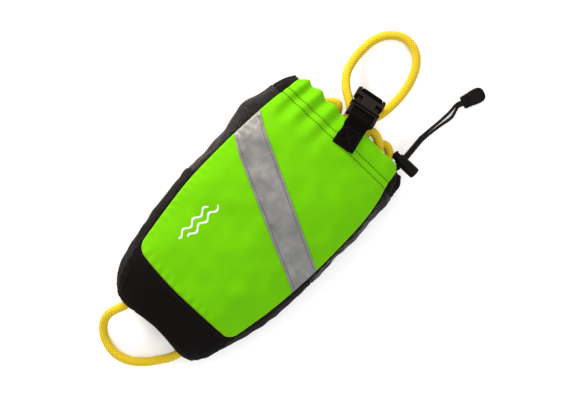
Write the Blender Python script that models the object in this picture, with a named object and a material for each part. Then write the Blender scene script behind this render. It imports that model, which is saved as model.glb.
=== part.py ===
"""Wedge-shaped throw rope bag, lying on its back panel with its front up.

The bag's own axes: +Y from the base to the mouth, +X to the right seen from the front, +Z out of the
front panel. Lengths are in metres. Everything hangs on one empty, which puts the middle of the bag's
box on the origin and its back panel on z = 0.
"""

import math

import bmesh
import bpy
from mathutils import Matrix, Vector

# ---- driving dimensions ---------------------------------------------------------------------------
GAP = 0.0003                    # between touching pieces
BASE_Y = -0.147                 # where the sides end at the base
MOUTH_Y = 0.152                 # front edge of the mouth
SIDE_MOUTH_Y = 0.148            # mouth edge of the gussets
BAND_SEAM_Y = -0.100            # seam of the green panel and the black band
MESH_SEAM_Y = 0.000             # seam of the plain gusset and its mesh
HEM_SEAM_Y = 0.124              # seam of the mesh and the gusset's hem
FRAME_Y = 0.0209                # middle of the box of the bag and its strap

# Profiles along the bag: (y, value)
HALF_WIDTH = ((-0.147, 0.052), (-0.135, 0.060), (-0.105, 0.0685), (-0.06, 0.0735),
              (0.0, 0.0775), (0.06, 0.0780), (0.11, 0.0745), (0.152, 0.0685))
FRONT_HEIGHT = ((-0.147, 0.048), (-0.12, 0.057), (-0.06, 0.065), (0.02, 0.069),
                (0.08, 0.067), (0.12, 0.061), (0.152, 0.052))
CROWN = ((-0.147, 0.004), (-0.09, 0.008), (0.06, 0.009), (0.152, 0.007))
BULGE = ((-0.147, 0.004), (-0.10, 0.010), (0.0, 0.013), (0.07, 0.018), (0.12, 0.011), (0.152, 0.005))
BACK_FLAT_Y = (-0.125, 0.095)   # the back panel lies flat between these
BACK_RISE = 0.008               # and rises this much to each end
BACK_FLAT_SHARE = 0.7           # share of the half width that lies flat
BACK_EDGE_LIFT = 0.0025         # rise of the back panel's side seams

FABRIC = 0.0012
SEAM = 0.0002                   # each panel stops this far from its seam line
FOAM_DEPTH = (0.0015, 0.0065)
FOAM_Y = (-0.120, 0.112)
BASE_THICK = 0.0022

TAPE_MID_Y, TAPE_SLOPE, TAPE_HALF = 0.0355, -0.503, 0.0185
TAPE_DEPTH = (-0.0008, -0.0003)

CHANNEL_Y = (0.128, 0.147)
CHANNEL_DEPTH = (0.0050, 0.0058)
DRAWCORD_R = 0.0015
DRAWCORD_Y, DRAWCORD_DEPTH = 0.141, 0.0031

ROPE_R = 0.00475
HOLE_X, HOLE_Z = 0.038, 0.026   # the base's two rope holes
GROMMET_BORE_R, GROMMET_TUBE_R, GROMMET_FLANGE_R = 0.0054, 0.0070, 0.0105
BUNDLE_Y = (-0.1165, 0.1150)
BUNDLE_DEPTH = 0.0075
KNOT_X, KNOT_Y, KNOT_Z = 0.002, (0.1240, 0.1495), 0.0345
STOPPER_Y = (-0.1405, -0.1170)

STRAP_HALF, STRAP_THICK = 0.0125, 0.0015
STRAP_X, STRAP_Y = 0.0105, 0.1250      # middle of the strap's sewn end on the front hem
STRAP_YAW = math.radians(10)           # the strap leans to the left on its way to the buckle
BUCKLE_PITCH = math.radians(45)        # and the buckle tips down over the mouth
BUCKLE_H, BUCKLE_Z = 0.0450, 0.0475    # the buckle's joint line, along the strap and up
REAR_PATCH_Y = 0.128
LEAN_ROOM = 0.0008                     # the leaning strap meets the sloping panels at its corners

LOCK_SLOPE = math.radians(25)
LOCK_STEP = 0.0135                     # from the mouth to the lock's cord hole
STRAND_OFF = 0.00165                   # half the distance of the two cord strands

EPS = 1e-9


# ---- small tools ----------------------------------------------------------------------------------
def smooth(table, y):
    """Value at y on a smooth curve through a table of (y, value)."""
    if y <= table[0][0]:
        return table[0][1]
    if y >= table[-1][0]:
        return table[-1][1]
    i = max(k for k in range(len(table) - 1) if table[k][0] <= y)

    def slope(k):
        low, high = max(k - 1, 0), min(k + 1, len(table) - 1)
        return (table[high][1] - table[low][1]) / (table[high][0] - table[low][0])

    span = table[i + 1][0] - table[i][0]
    s = (y - table[i][0]) / span
    a, b = table[i][1], table[i + 1][1]
    ma, mb = slope(i) * span, slope(i + 1) * span
    return ((2 * s**3 - 3 * s**2 + 1) * a + (s**3 - 2 * s**2 + s) * ma
            + (3 * s**2 - 2 * s**3) * b + (s**3 - s**2) * mb)


def ease(s):
    s = min(max(s, 0.0), 1.0)
    return s * s * (3 - 2 * s)


def smooth_route(points, spacing):
    """Points about that far apart on a smooth curve through the route's points."""
    pts = [Vector(p) for p in points]
    pts = [2 * pts[0] - pts[1]] + pts + [2 * pts[-1] - pts[-2]]
    fine = []
    for p0, p1, p2, p3 in zip(pts, pts[1:], pts[2:], pts[3:]):
        t1 = math.sqrt((p1 - p0).length)
        t2 = t1 + math.sqrt((p2 - p1).length)
        t3 = t2 + math.sqrt((p3 - p2).length)
        for k in range(16):
            t = t1 + (t2 - t1) * k / 16
            a1 = p0 * ((t1 - t) / t1) + p1 * (t / t1)
            a2 = p1 * ((t2 - t) / (t2 - t1)) + p2 * ((t - t1) / (t2 - t1))
            a3 = p2 * ((t3 - t) / (t3 - t2)) + p3 * ((t - t2) / (t3 - t2))
            b1 = a1 * ((t2 - t) / t2) + a2 * (t / t2)
            b2 = a2 * ((t3 - t) / (t3 - t1)) + a3 * ((t - t1) / (t3 - t1))
            fine.append(b1 * ((t2 - t) / (t2 - t1)) + b2 * ((t - t1) / (t2 - t1)))
    fine.append(pts[-2])
    along = [0.0]
    for a, b in zip(fine, fine[1:]):
        along.append(along[-1] + (b - a).length)
    count = max(2, round(along[-1] / spacing))
    out, i = [], 0
    for k in range(count + 1):
        goal = along[-1] * k / count
        while i < len(fine) - 2 and along[i + 1] < goal:
            i += 1
        s = (goal - along[i]) / max(along[i + 1] - along[i], EPS)
        out.append(fine[i].lerp(fine[i + 1], min(s, 1.0)))
    return out


# ---- objects --------------------------------------------------------------------------------------
def clear_scene():
    for old in list(bpy.data.objects):
        bpy.data.objects.remove(old)


def material(name, colour, roughness, metallic=0.0):
    found = bpy.data.materials.get(name)
    if found:
        return found
    made = bpy.data.materials.new(name)
    made.use_nodes = True
    shader = made.node_tree.nodes["Principled BSDF"]
    shader.inputs["Base Color"].default_value = (*colour, 1.0)
    shader.inputs["Roughness"].default_value = roughness
    shader.inputs["Metallic"].default_value = metallic
    return made


def finish_of(kind):
    """The material of a kind of piece."""
    kinds = {
        "green": ((0.16, 0.62, 0.01), 0.8, 0.0),
        "black_fabric": ((0.010, 0.008, 0.007), 0.9, 0.0),
        "mesh": ((0.012, 0.010, 0.009), 0.85, 0.0),
        "webbing": ((0.008, 0.007, 0.007), 0.85, 0.0),
        "tape": ((0.42, 0.42, 0.44), 0.35, 0.4),
        "foam": ((0.55, 0.55, 0.52), 0.9, 0.0),
        "rope": ((0.78, 0.50, 0.02), 0.6, 0.0),
        "drawcord": ((0.012, 0.011, 0.011), 0.8, 0.0),
        "plastic": ((0.014, 0.012, 0.011), 0.35, 0.0),
        "steel": ((0.6, 0.6, 0.6), 0.3, 1.0),
    }
    return material(kind, *kinds[kind])


def place(obj, parent, kind):
    obj.parent = parent
    obj.data.materials.append(finish_of(kind))
    return obj


def mesh_object(name, bm, parent, kind, rounded=False):
    bmesh.ops.recalc_face_normals(bm, faces=bm.faces)
    mesh = bpy.data.meshes.new(name)
    bm.to_mesh(mesh)
    bm.free()
    obj = bpy.data.objects.new(name, mesh)
    bpy.context.scene.collection.objects.link(obj)
    place(obj, parent, kind)
    if rounded:
        mesh.shade_smooth()
        mesh.set_sharp_from_angle(angle=math.radians(35))
    return obj


def empty(name, parent, matrix=None):
    obj = bpy.data.objects.new(name, None)
    bpy.context.scene.collection.objects.link(obj)
    obj.parent = parent
    if matrix:
        obj.matrix_local = matrix
    return obj


def tube(name, points, radius, parent, kind, resolution=2):
    curve = bpy.data.curves.new(name, "CURVE")
    curve.dimensions = "3D"
    curve.bevel_depth = radius
    curve.bevel_resolution = resolution
    curve.use_fill_caps = True
    spline = curve.splines.new("POLY")
    spline.points.add(len(points) - 1)
    for dot, p in zip(spline.points, points):
        dot.co = (*p, 1.0)
    obj = bpy.data.objects.new(name, curve)
    bpy.context.scene.collection.objects.link(obj)
    return place(obj, parent, kind)


def thick_sheet(name, surface, columns, rows, depths, parent, kind):
    """A sheet between two depths of surface(u, v, depth), closed at its four edges."""
    bm = bmesh.new()
    layers = []
    for depth in depths:
        grid = [[bm.verts.new(surface(i / columns, j / rows, depth)) for i in range(columns + 1)]
                for j in range(rows + 1)]
        layers.append(grid)
        for a, b in zip(grid, grid[1:]):
            for i in range(columns):
                bm.faces.new((a[i], a[i + 1], b[i + 1], b[i]))
    rims = []
    for grid in layers:
        bottom, top = grid[0], grid[-1]
        right = [row[-1] for row in grid]
        left = [row[0] for row in grid]
        rims.append(bottom + right[1:] + top[-2::-1] + left[-2:0:-1])
    count = len(rims[0])
    for k in range(count):
        bm.faces.new((rims[0][k], rims[0][(k + 1) % count], rims[1][(k + 1) % count], rims[1][k]))
    return mesh_object(name, bm, parent, kind, rounded=True)


def ring_stack(bm, rings, closed=False):
    """Faces between rings of vertices, capped at both ends unless the stack is closed on itself."""
    pairs = list(zip(rings, rings[1:])) + ([(rings[-1], rings[0])] if closed else [])
    for a, b in pairs:
        for k in range(len(a)):
            bm.faces.new((a[k - 1], a[k], b[k], b[k - 1]))
    if not closed:
        bm.faces.new(rings[0])
        bm.faces.new(rings[-1])


def turned(name, profile, origin, axis, parent, kind, steps=24, hollow=True):
    """A body turned about an axis through origin: profile holds (along the axis, radius)."""
    z = Vector(axis).normalized()
    x = z.orthogonal().normalized()
    y = z.cross(x)
    bm = bmesh.new()
    rings = []
    for along, radius in profile:
        ring = []
        for k in range(steps):
            turn = 2 * math.pi * k / steps
            ring.append(bm.verts.new(Vector(origin) + z * along
                                     + (x * math.cos(turn) + y * math.sin(turn)) * radius))
        rings.append(ring)
    ring_stack(bm, rings, closed=hollow)
    return mesh_object(name, bm, parent, kind, rounded=True)


def block(name, low, high, parent, kind, bevel=0.0):
    bm = bmesh.new()
    bmesh.ops.create_cube(bm, size=1.0)
    low, high = Vector(low), Vector(high)
    for vert in bm.verts:
        vert.co = Vector([(a + b) / 2 + c * (b - a) for a, b, c in zip(low, high, vert.co)])
    if bevel:
        bmesh.ops.bevel(bm, geom=bm.edges[:], offset=bevel, segments=2, affect="EDGES")
    return mesh_object(name, bm, parent, kind)


def prism(name, outline, bottom, top, parent, kind):
    """An outline in the XY plane, extruded from z = bottom to z = top."""
    bm = bmesh.new()
    ring_stack(bm, [[bm.verts.new((x, y, z)) for x, y in outline] for z in (bottom, top)])
    return mesh_object(name, bm, parent, kind)


def boolean(obj, tool, operation="DIFFERENCE"):
    """Cuts with a hidden tool, or joins it on."""
    tool.hide_render = True
    tool.display_type = "WIRE"
    cut = obj.modifiers.new(tool.name, "BOOLEAN")
    cut.operation = operation
    cut.object = tool
    cut.solver = "EXACT"


def ribbon(name, line, half_width, thickness, parent, kind):
    """A flat strap: line holds (y, z) down its middle, and its width runs along X."""
    bm = bmesh.new()
    rings = []
    for k, (y, z) in enumerate(line):
        before, after = line[max(k - 1, 0)], line[min(k + 1, len(line) - 1)]
        along = Vector((after[0] - before[0], after[1] - before[1])).normalized()
        up = Vector((-along.y, along.x)) * thickness / 2
        ring = [(-half_width, 1), (half_width, 1), (half_width, -1), (-half_width, -1)]
        rings.append([bm.verts.new((x, y + side * up.x, z + side * up.y)) for x, side in ring])
    ring_stack(bm, rings)
    return mesh_object(name, bm, parent, kind)


# ---- the bag's skin -------------------------------------------------------------------------------
def back_height(y):
    """Height of the back panel's flat middle above the ground."""
    base, mouth = BACK_FLAT_Y
    if y < base:
        return BACK_RISE * ease((base - y) / (base - BASE_Y))
    return BACK_RISE * ease((y - mouth) / (MOUTH_Y - mouth))


def skin(y, side, t, depth):
    """Point of the bag's skin: side and t go round the bag, and depth goes inwards."""
    width = smooth(HALF_WIDTH, y) - depth
    front = smooth(FRONT_HEIGHT, y) - depth
    back = back_height(y) + depth
    if side == "front":
        x = width * (2 * t - 1)
        return Vector((x, y, front + smooth(CROWN, y) * (1 - (x / width) ** 2)))
    if side == "back":
        x = width * (1 - 2 * t)
        edge = max(0.0, (abs(x) / width - BACK_FLAT_SHARE) / (1 - BACK_FLAT_SHARE))
        return Vector((x, y, back + BACK_EDGE_LIFT * edge**2))
    low = back + BACK_EDGE_LIFT
    down = t if side == "right" else 1 - t
    x = width + smooth(BULGE, y) * math.sin(math.pi * down)
    return Vector((x if side == "right" else -x, y, front + (low - front) * down))


def seam_share(side):
    """How much of a side's t one seam allowance takes."""
    return SEAM / (0.15 if side in ("front", "back") else 0.055)


def stations(low, high):
    """The cross-sections from low to high. All panels share them, so that their seams match."""
    base = [BASE_Y + step for step in (0.004, 0.009, 0.015, 0.022, 0.030, 0.038)]
    rest = [BAND_SEAM_Y + 0.0124 * k for k in range(19)] + [0.132, 0.140]
    between = [y for y in base + rest if low + 0.001 < y < high - 0.001]
    return [low] + between + [high]


def panel(name, side, y_range, columns, depths, parent, kind, trim=None):
    edge = seam_share(side) if trim is None else trim
    cuts = stations(*y_range)
    rows = len(cuts) - 1

    def surface(u, v, depth):
        return skin(cuts[round(v * rows)], side, edge + (1 - 2 * edge) * u, depth)

    return thick_sheet(name, surface, columns, rows, depths, parent, kind)


ROUND = ([("front", k / 10) for k in range(10)] + [("right", k / 6) for k in range(6)]
         + [("back", k / 10) for k in range(10)] + [("left", k / 6) for k in range(6)])


def bag_panels(root):
    cloth = (0.0, FABRIC)
    panel("front_panel", "front", (BAND_SEAM_Y + SEAM, MOUTH_Y), 12, cloth, root, "green")
    panel("front_lower_band", "front", (BASE_Y, BAND_SEAM_Y - SEAM), 12, cloth, root, "black_fabric")
    panel("front_foam", "front", FOAM_Y, 10, FOAM_DEPTH, root, "foam", trim=0.06)
    panel("back_panel", "back", (BASE_Y, SIDE_MOUTH_Y), 12, cloth, root, "black_fabric")
    for side in ("left", "right"):
        for part, low, high, kind in (("lower", BASE_Y, MESH_SEAM_Y - SEAM, "black_fabric"),
                                      ("mesh", MESH_SEAM_Y + SEAM, HEM_SEAM_Y - SEAM, "mesh"),
                                      ("hem", HEM_SEAM_Y + SEAM, SIDE_MOUTH_Y, "black_fabric")):
            panel(f"{side}_gusset_{part}", side, (low, high), 6, cloth, root, kind)

    def tape(u, v, depth):
        share = SEAM / 0.15 + (1 - 2 * SEAM / 0.15) * u
        across = 0.078 * (2 * share - 1)
        y = TAPE_MID_Y + TAPE_SLOPE * across + TAPE_HALF * (2 * v - 1)
        return skin(y, "front", share, depth)

    thick_sheet("reflective_tape", tape, 12, 4, TAPE_DEPTH, root, "tape")


def base(root):
    """End panel with its two rope holes, and the grommets in them."""
    bm = bmesh.new()
    rings = []
    for y in (BASE_Y - GAP, BASE_Y - GAP - BASE_THICK):
        outline = [skin(BASE_Y, side, t, 0.0004) for side, t in ROUND]
        rings.append([bm.verts.new((p.x, y, p.z)) for p in outline])
    ring_stack(bm, rings)
    plate = mesh_object("base_panel", bm, root, "black_fabric")
    outer = BASE_Y - GAP - BASE_THICK
    for name, x in (("left", -HOLE_X), ("right", HOLE_X)):
        at = (x, 0, HOLE_Z)
        drill = turned(f"cut_hole_{name}", [(BASE_Y - 0.01, GROMMET_TUBE_R + GAP),
                                            (BASE_Y + 0.01, GROMMET_TUBE_R + GAP)],
                       at, (0, 1, 0), root, "plastic", hollow=False)
        boolean(plate, drill)
        flange, inner = outer - GAP, BASE_Y + 0.0025
        turned(f"base_grommet_{name}", [
            (flange, GROMMET_FLANGE_R), (flange - 0.0008, GROMMET_FLANGE_R),
            (flange - 0.0018, GROMMET_FLANGE_R - 0.0012), (flange - 0.0018, GROMMET_BORE_R + 0.0008),
            (flange - 0.0010, GROMMET_BORE_R), (inner, GROMMET_BORE_R), (inner, GROMMET_TUBE_R),
            (flange, GROMMET_TUBE_R)], at, (0, 1, 0), root, "plastic")
        washer = BASE_Y + GAP
        turned(f"base_washer_{name}", [
            (washer, GROMMET_TUBE_R + GAP), (washer, GROMMET_FLANGE_R - 0.0005),
            (washer + 0.0010, GROMMET_FLANGE_R - 0.0005), (washer + 0.0010, GROMMET_TUBE_R + GAP)],
               at, (0, 1, 0), root, "plastic")


def drawcord_channel(root):
    """Facing strip inside the mouth: a closed band round all four sides."""
    bm = bmesh.new()
    low, high = CHANNEL_Y
    rings = []
    for y, depth in ((low, CHANNEL_DEPTH[0]), (high, CHANNEL_DEPTH[0]),
                     (high, CHANNEL_DEPTH[1]), (low, CHANNEL_DEPTH[1])):
        rings.append([bm.verts.new(skin(y, side, t, depth)) for side, t in ROUND])
    ring_stack(bm, rings, closed=True)
    mesh_object("drawcord_channel", bm, root, "black_fabric", rounded=True)


# ---- rope -----------------------------------------------------------------------------------------
HAND_LOOP = ((-0.0050, 0.1498, 0.0345), (-0.0050, 0.1590, 0.0345), (-0.0115, 0.1670, 0.0315),
             (-0.0235, 0.1760, 0.0250), (-0.0330, 0.1880, 0.0170), (-0.0370, 0.2030, 0.0092),
             (-0.0380, 0.2180, 0.0056), (-0.0365, 0.2350, 0.0049), (-0.0290, 0.2500, 0.0048),
             (-0.0140, 0.2600, 0.0048), (0.0020, 0.2590, 0.0048), (0.0150, 0.2490, 0.0048),
             (0.0225, 0.2340, 0.0049), (0.0260, 0.2180, 0.0056), (0.0265, 0.2030, 0.0090),
             (0.0245, 0.1880, 0.0165), (0.0200, 0.1760, 0.0250), (0.0140, 0.1670, 0.0315),
             (0.0090, 0.1590, 0.0345), (0.0090, 0.1498, 0.0345))
BASE_LOOP = ((-0.0380, -0.1172, 0.0260), (-0.0380, -0.1400, 0.0260), (-0.0382, -0.1530, 0.0258),
             (-0.0415, -0.1640, 0.0215), (-0.0425, -0.1740, 0.0140), (-0.0390, -0.1840, 0.0080),
             (-0.0290, -0.1940, 0.0051), (-0.0110, -0.1995, 0.0048), (0.0070, -0.1950, 0.0051),
             (0.0210, -0.1840, 0.0080), (0.0310, -0.1710, 0.0145), (0.0365, -0.1610, 0.0215),
             (0.0380, -0.1530, 0.0258), (0.0380, -0.1408, 0.0260))


def knot(name, middle, y_range, half_x, half_z, root):
    """The outer shape of a knot, with flat ends that the rope meets."""
    bm = bmesh.new()
    rings = []
    for share, size in ((0.0, 0.86), (0.18, 0.98), (0.5, 1.0), (0.82, 0.98), (1.0, 0.86)):
        y = y_range[0] + (y_range[1] - y_range[0]) * share
        ring = []
        for k in range(16):
            turn = 2 * math.pi * k / 16
            ring.append(bm.verts.new((middle[0] + half_x * size * math.cos(turn), y,
                                      middle[1] + half_z * size * math.sin(turn))))
        rings.append(ring)
    ring_stack(bm, rings)
    return mesh_object(name, bm, root, "rope", rounded=True)


def rope_bundle(root):
    """The outer shape of the stuffed rope, with rounded ends."""
    bm = bmesh.new()
    rings = []
    steps = 14
    low, high = BUNDLE_Y
    for j in range(steps + 1):
        turn = -math.cos(math.pi * j / steps)
        y = (low + high) / 2 + (high - low) / 2 * turn
        size = 0.55 + 0.45 * (1 - abs(turn) ** 6) ** 0.5
        around = [skin(y, side, t, BUNDLE_DEPTH) for side, t in ROUND]
        middle = sum(around, Vector()) / len(around)
        ring = [middle + (p - middle) * size for p in around]
        rings.append([bm.verts.new((p.x, y, p.z)) for p in ring])
    ring_stack(bm, rings)
    return mesh_object("rope_bundle", bm, root, "rope", rounded=True)


def rope(root):
    tube("rope_hand_loop", smooth_route(HAND_LOOP, 0.0085), ROPE_R, root, "rope", 3)
    tube("rope_base_loop", smooth_route(BASE_LOOP, 0.0085), ROPE_R, root, "rope", 3)
    knot("hand_loop_knot", (KNOT_X, KNOT_Z), KNOT_Y, 0.0150, 0.0110, root)
    knot("base_loop_knot", (HOLE_X, HOLE_Z), (STOPPER_Y[0] + GAP, STOPPER_Y[1]), 0.0095, 0.0105, root)
    rope_bundle(root)


# ---- drawcord and its lock ------------------------------------------------------------------------
LOCK_DIR = Vector((0, math.cos(LOCK_SLOPE), -math.sin(LOCK_SLOPE)))
CORD_EXIT = skin(SIDE_MOUTH_Y, "right", 0.35, DRAWCORD_DEPTH + 0.0003)
LOCK_AT = CORD_EXIT + LOCK_DIR * LOCK_STEP
BARREL_R, PLUNGER_R, HEAD_R = 0.0063, 0.0044, 0.0052
BARREL_X = (-0.0057, 0.0195)
PLUNGER_X = (-0.0126, 0.0080)
SPRING_X = (0.0084, 0.0174)
PRESS_TRAVEL = 0.0040
CORD_SLOT_HALF = 0.00345               # half the barrel's cord hole, along the barrel
CORD_SLOT_RISE = 0.0022                # half its height
END_NECK, END_TIP = Vector((0.0800, 0.2520, 0.0040)), Vector((0.0895, 0.2780, 0.0040))


def strand_route(side):
    """One strand from the channel, through the lock, to the cord end; side is -1 or +1."""
    spread = 1 if side < 0 else -1
    start = [skin(y, "right", 0.35 - spread * dt, DRAWCORD_DEPTH)
             for y, dt in ((DRAWCORD_Y, 0.17), (0.1422, 0.10), (0.1450, 0.052))]
    off = Vector((STRAND_OFF * side, 0, 0))
    start.append(CORD_EXIT + Vector((0.0, 0, -0.0019)) * side)
    start.append(CORD_EXIT + LOCK_DIR * 0.0030 + Vector((0.0012, 0, -0.0015)) * side)
    straight = [LOCK_AT + LOCK_DIR * s + off for s in (-0.0072, -0.003, 0.004, 0.012, 0.020, 0.028, 0.036)]
    along = (END_TIP - END_NECK).normalized()
    across = Vector((along.y, -along.x, 0)) * STRAND_OFF * side
    flat = [Vector((0.0722, 0.2080, 0.0070)), Vector((0.0735, 0.2210, 0.0030)),
            Vector((0.0762, 0.2360, 0.0022))]
    last = [END_NECK - along * back for back in (0.0060, GAP)]
    return start + straight + [p + off for p in flat] + [p + across for p in last]


def drawcord(root):
    low, high = 0.35 - 0.17, 0.35 + 0.17
    stops = ([("right", low - low * k / 3) for k in range(1, 4)]
             + [("front", 1 - k / 10) for k in range(1, 10)]
             + [("left", 1 - k / 6) for k in range(0, 7)]
             + [("back", 1 - k / 10) for k in range(1, 10)]
             + [("right", 1 - (1 - high) * k / 5) for k in range(0, 5)])
    inset = 0.01
    points = [skin(DRAWCORD_Y, "right", low - 0.025, DRAWCORD_DEPTH)]
    points += [skin(DRAWCORD_Y, side, min(max(t, inset), 1 - inset), DRAWCORD_DEPTH)
               for side, t in stops]
    points.append(skin(DRAWCORD_Y, "right", high + 0.025, DRAWCORD_DEPTH))
    tube("drawcord", points, DRAWCORD_R, root, "drawcord")
    for name, side in (("drawcord_tail_upper", -1), ("drawcord_tail_lower", 1)):
        tube(name, smooth_route(strand_route(side), 0.0042), DRAWCORD_R, root, "drawcord")


def slot_cutter(name, low, high, length, parent):
    """A cord hole with round ends through the lock, from low to high along the barrel."""
    rise = CORD_SLOT_RISE
    outline = []
    for k in range(7):
        turn = math.pi * (0.5 + k / 6)
        outline.append((low + rise + rise * math.cos(turn), rise * math.sin(turn)))
    for k in range(7):
        turn = math.pi * (-0.5 + k / 6)
        outline.append((high - rise + rise * math.cos(turn), rise * math.sin(turn)))
    bm = bmesh.new()
    ring_stack(bm, [[bm.verts.new((x, y, z)) for x, z in outline] for y in (-length, length)])
    return mesh_object(name, bm, parent, "plastic")


def cord_lock(root):
    """Lock in its own axes: X along the barrel, Y along the cord."""
    axis = (1, 0, 0)
    turn = Matrix.Translation(LOCK_AT) @ Matrix.Rotation(-LOCK_SLOPE, 4, "X")
    lock = empty("cord_lock_axis", root, turn)
    start, end = BARREL_X
    bore = PLUNGER_R + 0.0004
    floor = SPRING_X[1] + GAP
    barrel = turned("cord_lock_barrel", [
        (start, bore), (start, BARREL_R - 0.0008), (start + 0.0008, BARREL_R - 0.0002),
        (0.0045, BARREL_R - 0.0002), (0.0052, BARREL_R), (end - 0.0016, BARREL_R),
        (end - 0.0004, BARREL_R - 0.0008), (end, BARREL_R - 0.0022), (end, 0.0008),
        (floor, 0.0008), (floor, bore)], (0, 0, 0), axis, lock, "plastic")
    boolean(barrel, slot_cutter("cut_barrel_slot", -CORD_SLOT_HALF, CORD_SLOT_HALF + 0.0006,
                                0.012, lock))
    tip, inner = PLUNGER_X
    plunger = turned("cord_lock_plunger", [
        (tip, 0.0030), (tip + 0.0006, HEAD_R - 0.0008), (tip + 0.0014, HEAD_R),
        (tip + 0.0024, HEAD_R), (tip + 0.0029, PLUNGER_R), (inner, PLUNGER_R)],
                     (0, 0, 0), axis, lock, "plastic", hollow=False)
    boolean(plunger, slot_cutter("cut_plunger_slot", -CORD_SLOT_HALF - PRESS_TRAVEL,
                                 CORD_SLOT_HALF, 0.012, lock))
    coils, steps, wire, coil_r = 5, 10, 0.0004, 0.0030
    low, high = SPRING_X[0] + wire + GAP, SPRING_X[1] - wire - GAP
    points = []
    for k in range(coils * steps + 1):
        angle = 2 * math.pi * k / steps
        points.append((low + (high - low) * k / (coils * steps),
                       coil_r * math.cos(angle), coil_r * math.sin(angle)))
    tube("cord_lock_spring", points, wire, lock, "steel", 1)


def cord_end(root):
    """Moulded pull: a flat drop, narrow where the cords enter."""
    along = END_TIP - END_NECK
    turn = Matrix.Translation(END_NECK) @ Matrix.Rotation(math.atan2(-along.x, along.y), 4, "Z")
    frame = empty("cord_end_axis", root, turn)
    bm = bmesh.new()
    rings = []
    for share, half, thick in ((0.0, 0.0042, 0.0026), (0.12, 0.0050, 0.0030), (0.40, 0.0068, 0.0034),
                               (0.68, 0.0082, 0.0035), (0.86, 0.0074, 0.0033), (0.96, 0.0048, 0.0026),
                               (1.0, 0.0020, 0.0014)):
        ring = []
        for k in range(16):
            a = 2 * math.pi * k / 16
            ring.append(bm.verts.new((half * math.copysign(abs(math.cos(a)) ** 0.8, math.cos(a)),
                                      along.length * share,
                                      thick * math.copysign(abs(math.sin(a)) ** 0.8, math.sin(a)))))
        rings.append(ring)
    ring_stack(bm, rings)
    mesh_object("cord_end", bm, frame, "plastic", rounded=True)


# ---- strap and buckle -----------------------------------------------------------------------------
PLUG_START, PLUG_FACE = -0.0160, -0.0003
RAIL_HALF, RAIL_IN, RAIL_N = 0.0165, 0.0131, 0.0033
NEAR_BAR, FAR_BAR, BAR_N = (-0.0160, -0.0132), (-0.0088, -0.0060), 0.0013
ARM_Q, ARM_HALF, ARM_N, ARM_TIP = 0.0120, 0.0013, 0.0026, 0.0138
PAD_Q, PAD_P, PAD_R = 0.0099, 0.0080, 0.0034
TONGUE_HALF, TONGUE_N, TONGUE_END = 0.0030, 0.0017, 0.0165
SOCKET_HALF, SOCKET_N, SOCKET_END = 0.0170, 0.0046, 0.0273
CAVITY_HALF, CAVITY_N, CAVITY_END = 0.0136, 0.0031, 0.0175
NOTCH_Q, NOTCH_P = 0.0082, (0.0036, 0.0140)
SLOT_P = (0.0196, 0.0240)
STRAP_PATH_N = BAR_N + GAP + STRAP_THICK / 2 + 0.0001


def buckle_to_strap(p, n):
    """A point of the buckle's own axes as (along the strap, up)."""
    sin, cos = math.sin(BUCKLE_PITCH), math.cos(BUCKLE_PITCH)
    return (BUCKLE_H + p * cos + n * sin, BUCKLE_Z - p * sin + n * cos)


def arc(middle, radius, start, end, steps):
    """Points of an arc from start to end, in degrees."""
    turns = [math.radians(start + (end - start) * k / steps) for k in range(steps + 1)]
    return [(middle[0] + radius * math.cos(a), middle[1] + radius * math.sin(a)) for a in turns]


def flat_route(points, spacing):
    return [(p.x, p.y) for p in smooth_route([(h, z, 0) for h, z in points], spacing)]


def front_strap(strap_axis):
    over = GAP + STRAP_THICK / 2 + LEAN_ROOM

    def crest(h):
        y = STRAP_Y + h * math.cos(STRAP_YAW)
        return smooth(FRONT_HEIGHT, y) + smooth(CROWN, y) + over

    patch = [(h, crest(h)) for h in (0.0, 0.006, 0.012, 0.018, 0.024)]
    lead = [buckle_to_strap(p, n) for p, n in ((-0.0175, 0.0032), (-0.0125, STRAP_PATH_N))]
    top = flat_route(patch + lead + [buckle_to_strap(FAR_BAR[0], STRAP_PATH_N)], 0.004)
    middle = ((FAR_BAR[1] - 0.0008), 0.0)
    turn = [buckle_to_strap(p, n) for p, n in arc(middle, STRAP_PATH_N, 80, -80, 8)]
    tail = [buckle_to_strap(p, -STRAP_PATH_N) for p in (FAR_BAR[0], -0.0120, -0.0155)]
    ribbon("front_strap", top + turn + tail, STRAP_HALF, STRAP_THICK, strap_axis, "webbing")


def rear_straps(strap_axis):
    bar_middle = (SLOT_P[1] + 0.0016, 0.0)
    reach = 0.0034
    loop = [(0.0258, -0.0120), (0.0236, -0.0075), (0.0222, -0.0035)]
    loop += arc(bar_middle, reach, 195, -15, 10)
    loop += [(0.0292, -0.0035), (0.0287, -0.0075), (0.0278, -0.0120)]
    ribbon("rear_strap_loop", [buckle_to_strap(p, n) for p, n in loop], STRAP_HALF - 0.0002,
           STRAP_THICK, strap_axis, "webbing")

    under = GAP + STRAP_THICK / 2 + LEAN_ROOM

    def below(y):
        return ((y - STRAP_Y) / math.cos(STRAP_YAW), back_height(y) - under)

    top = buckle_to_strap(0.0268, -0.0120 - GAP)
    next_one = buckle_to_strap(0.0268, -0.0170)
    route = [top, next_one, (0.0455, 0.0100), (0.0360, 0.0066)]
    route += [below(y) for y in (0.1520, 0.1460, 0.1400, 0.1340, REAR_PATCH_Y)]
    ribbon("rear_strap", flat_route(route, 0.004), STRAP_HALF - 0.0002, STRAP_THICK, strap_axis,
           "webbing")


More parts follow.
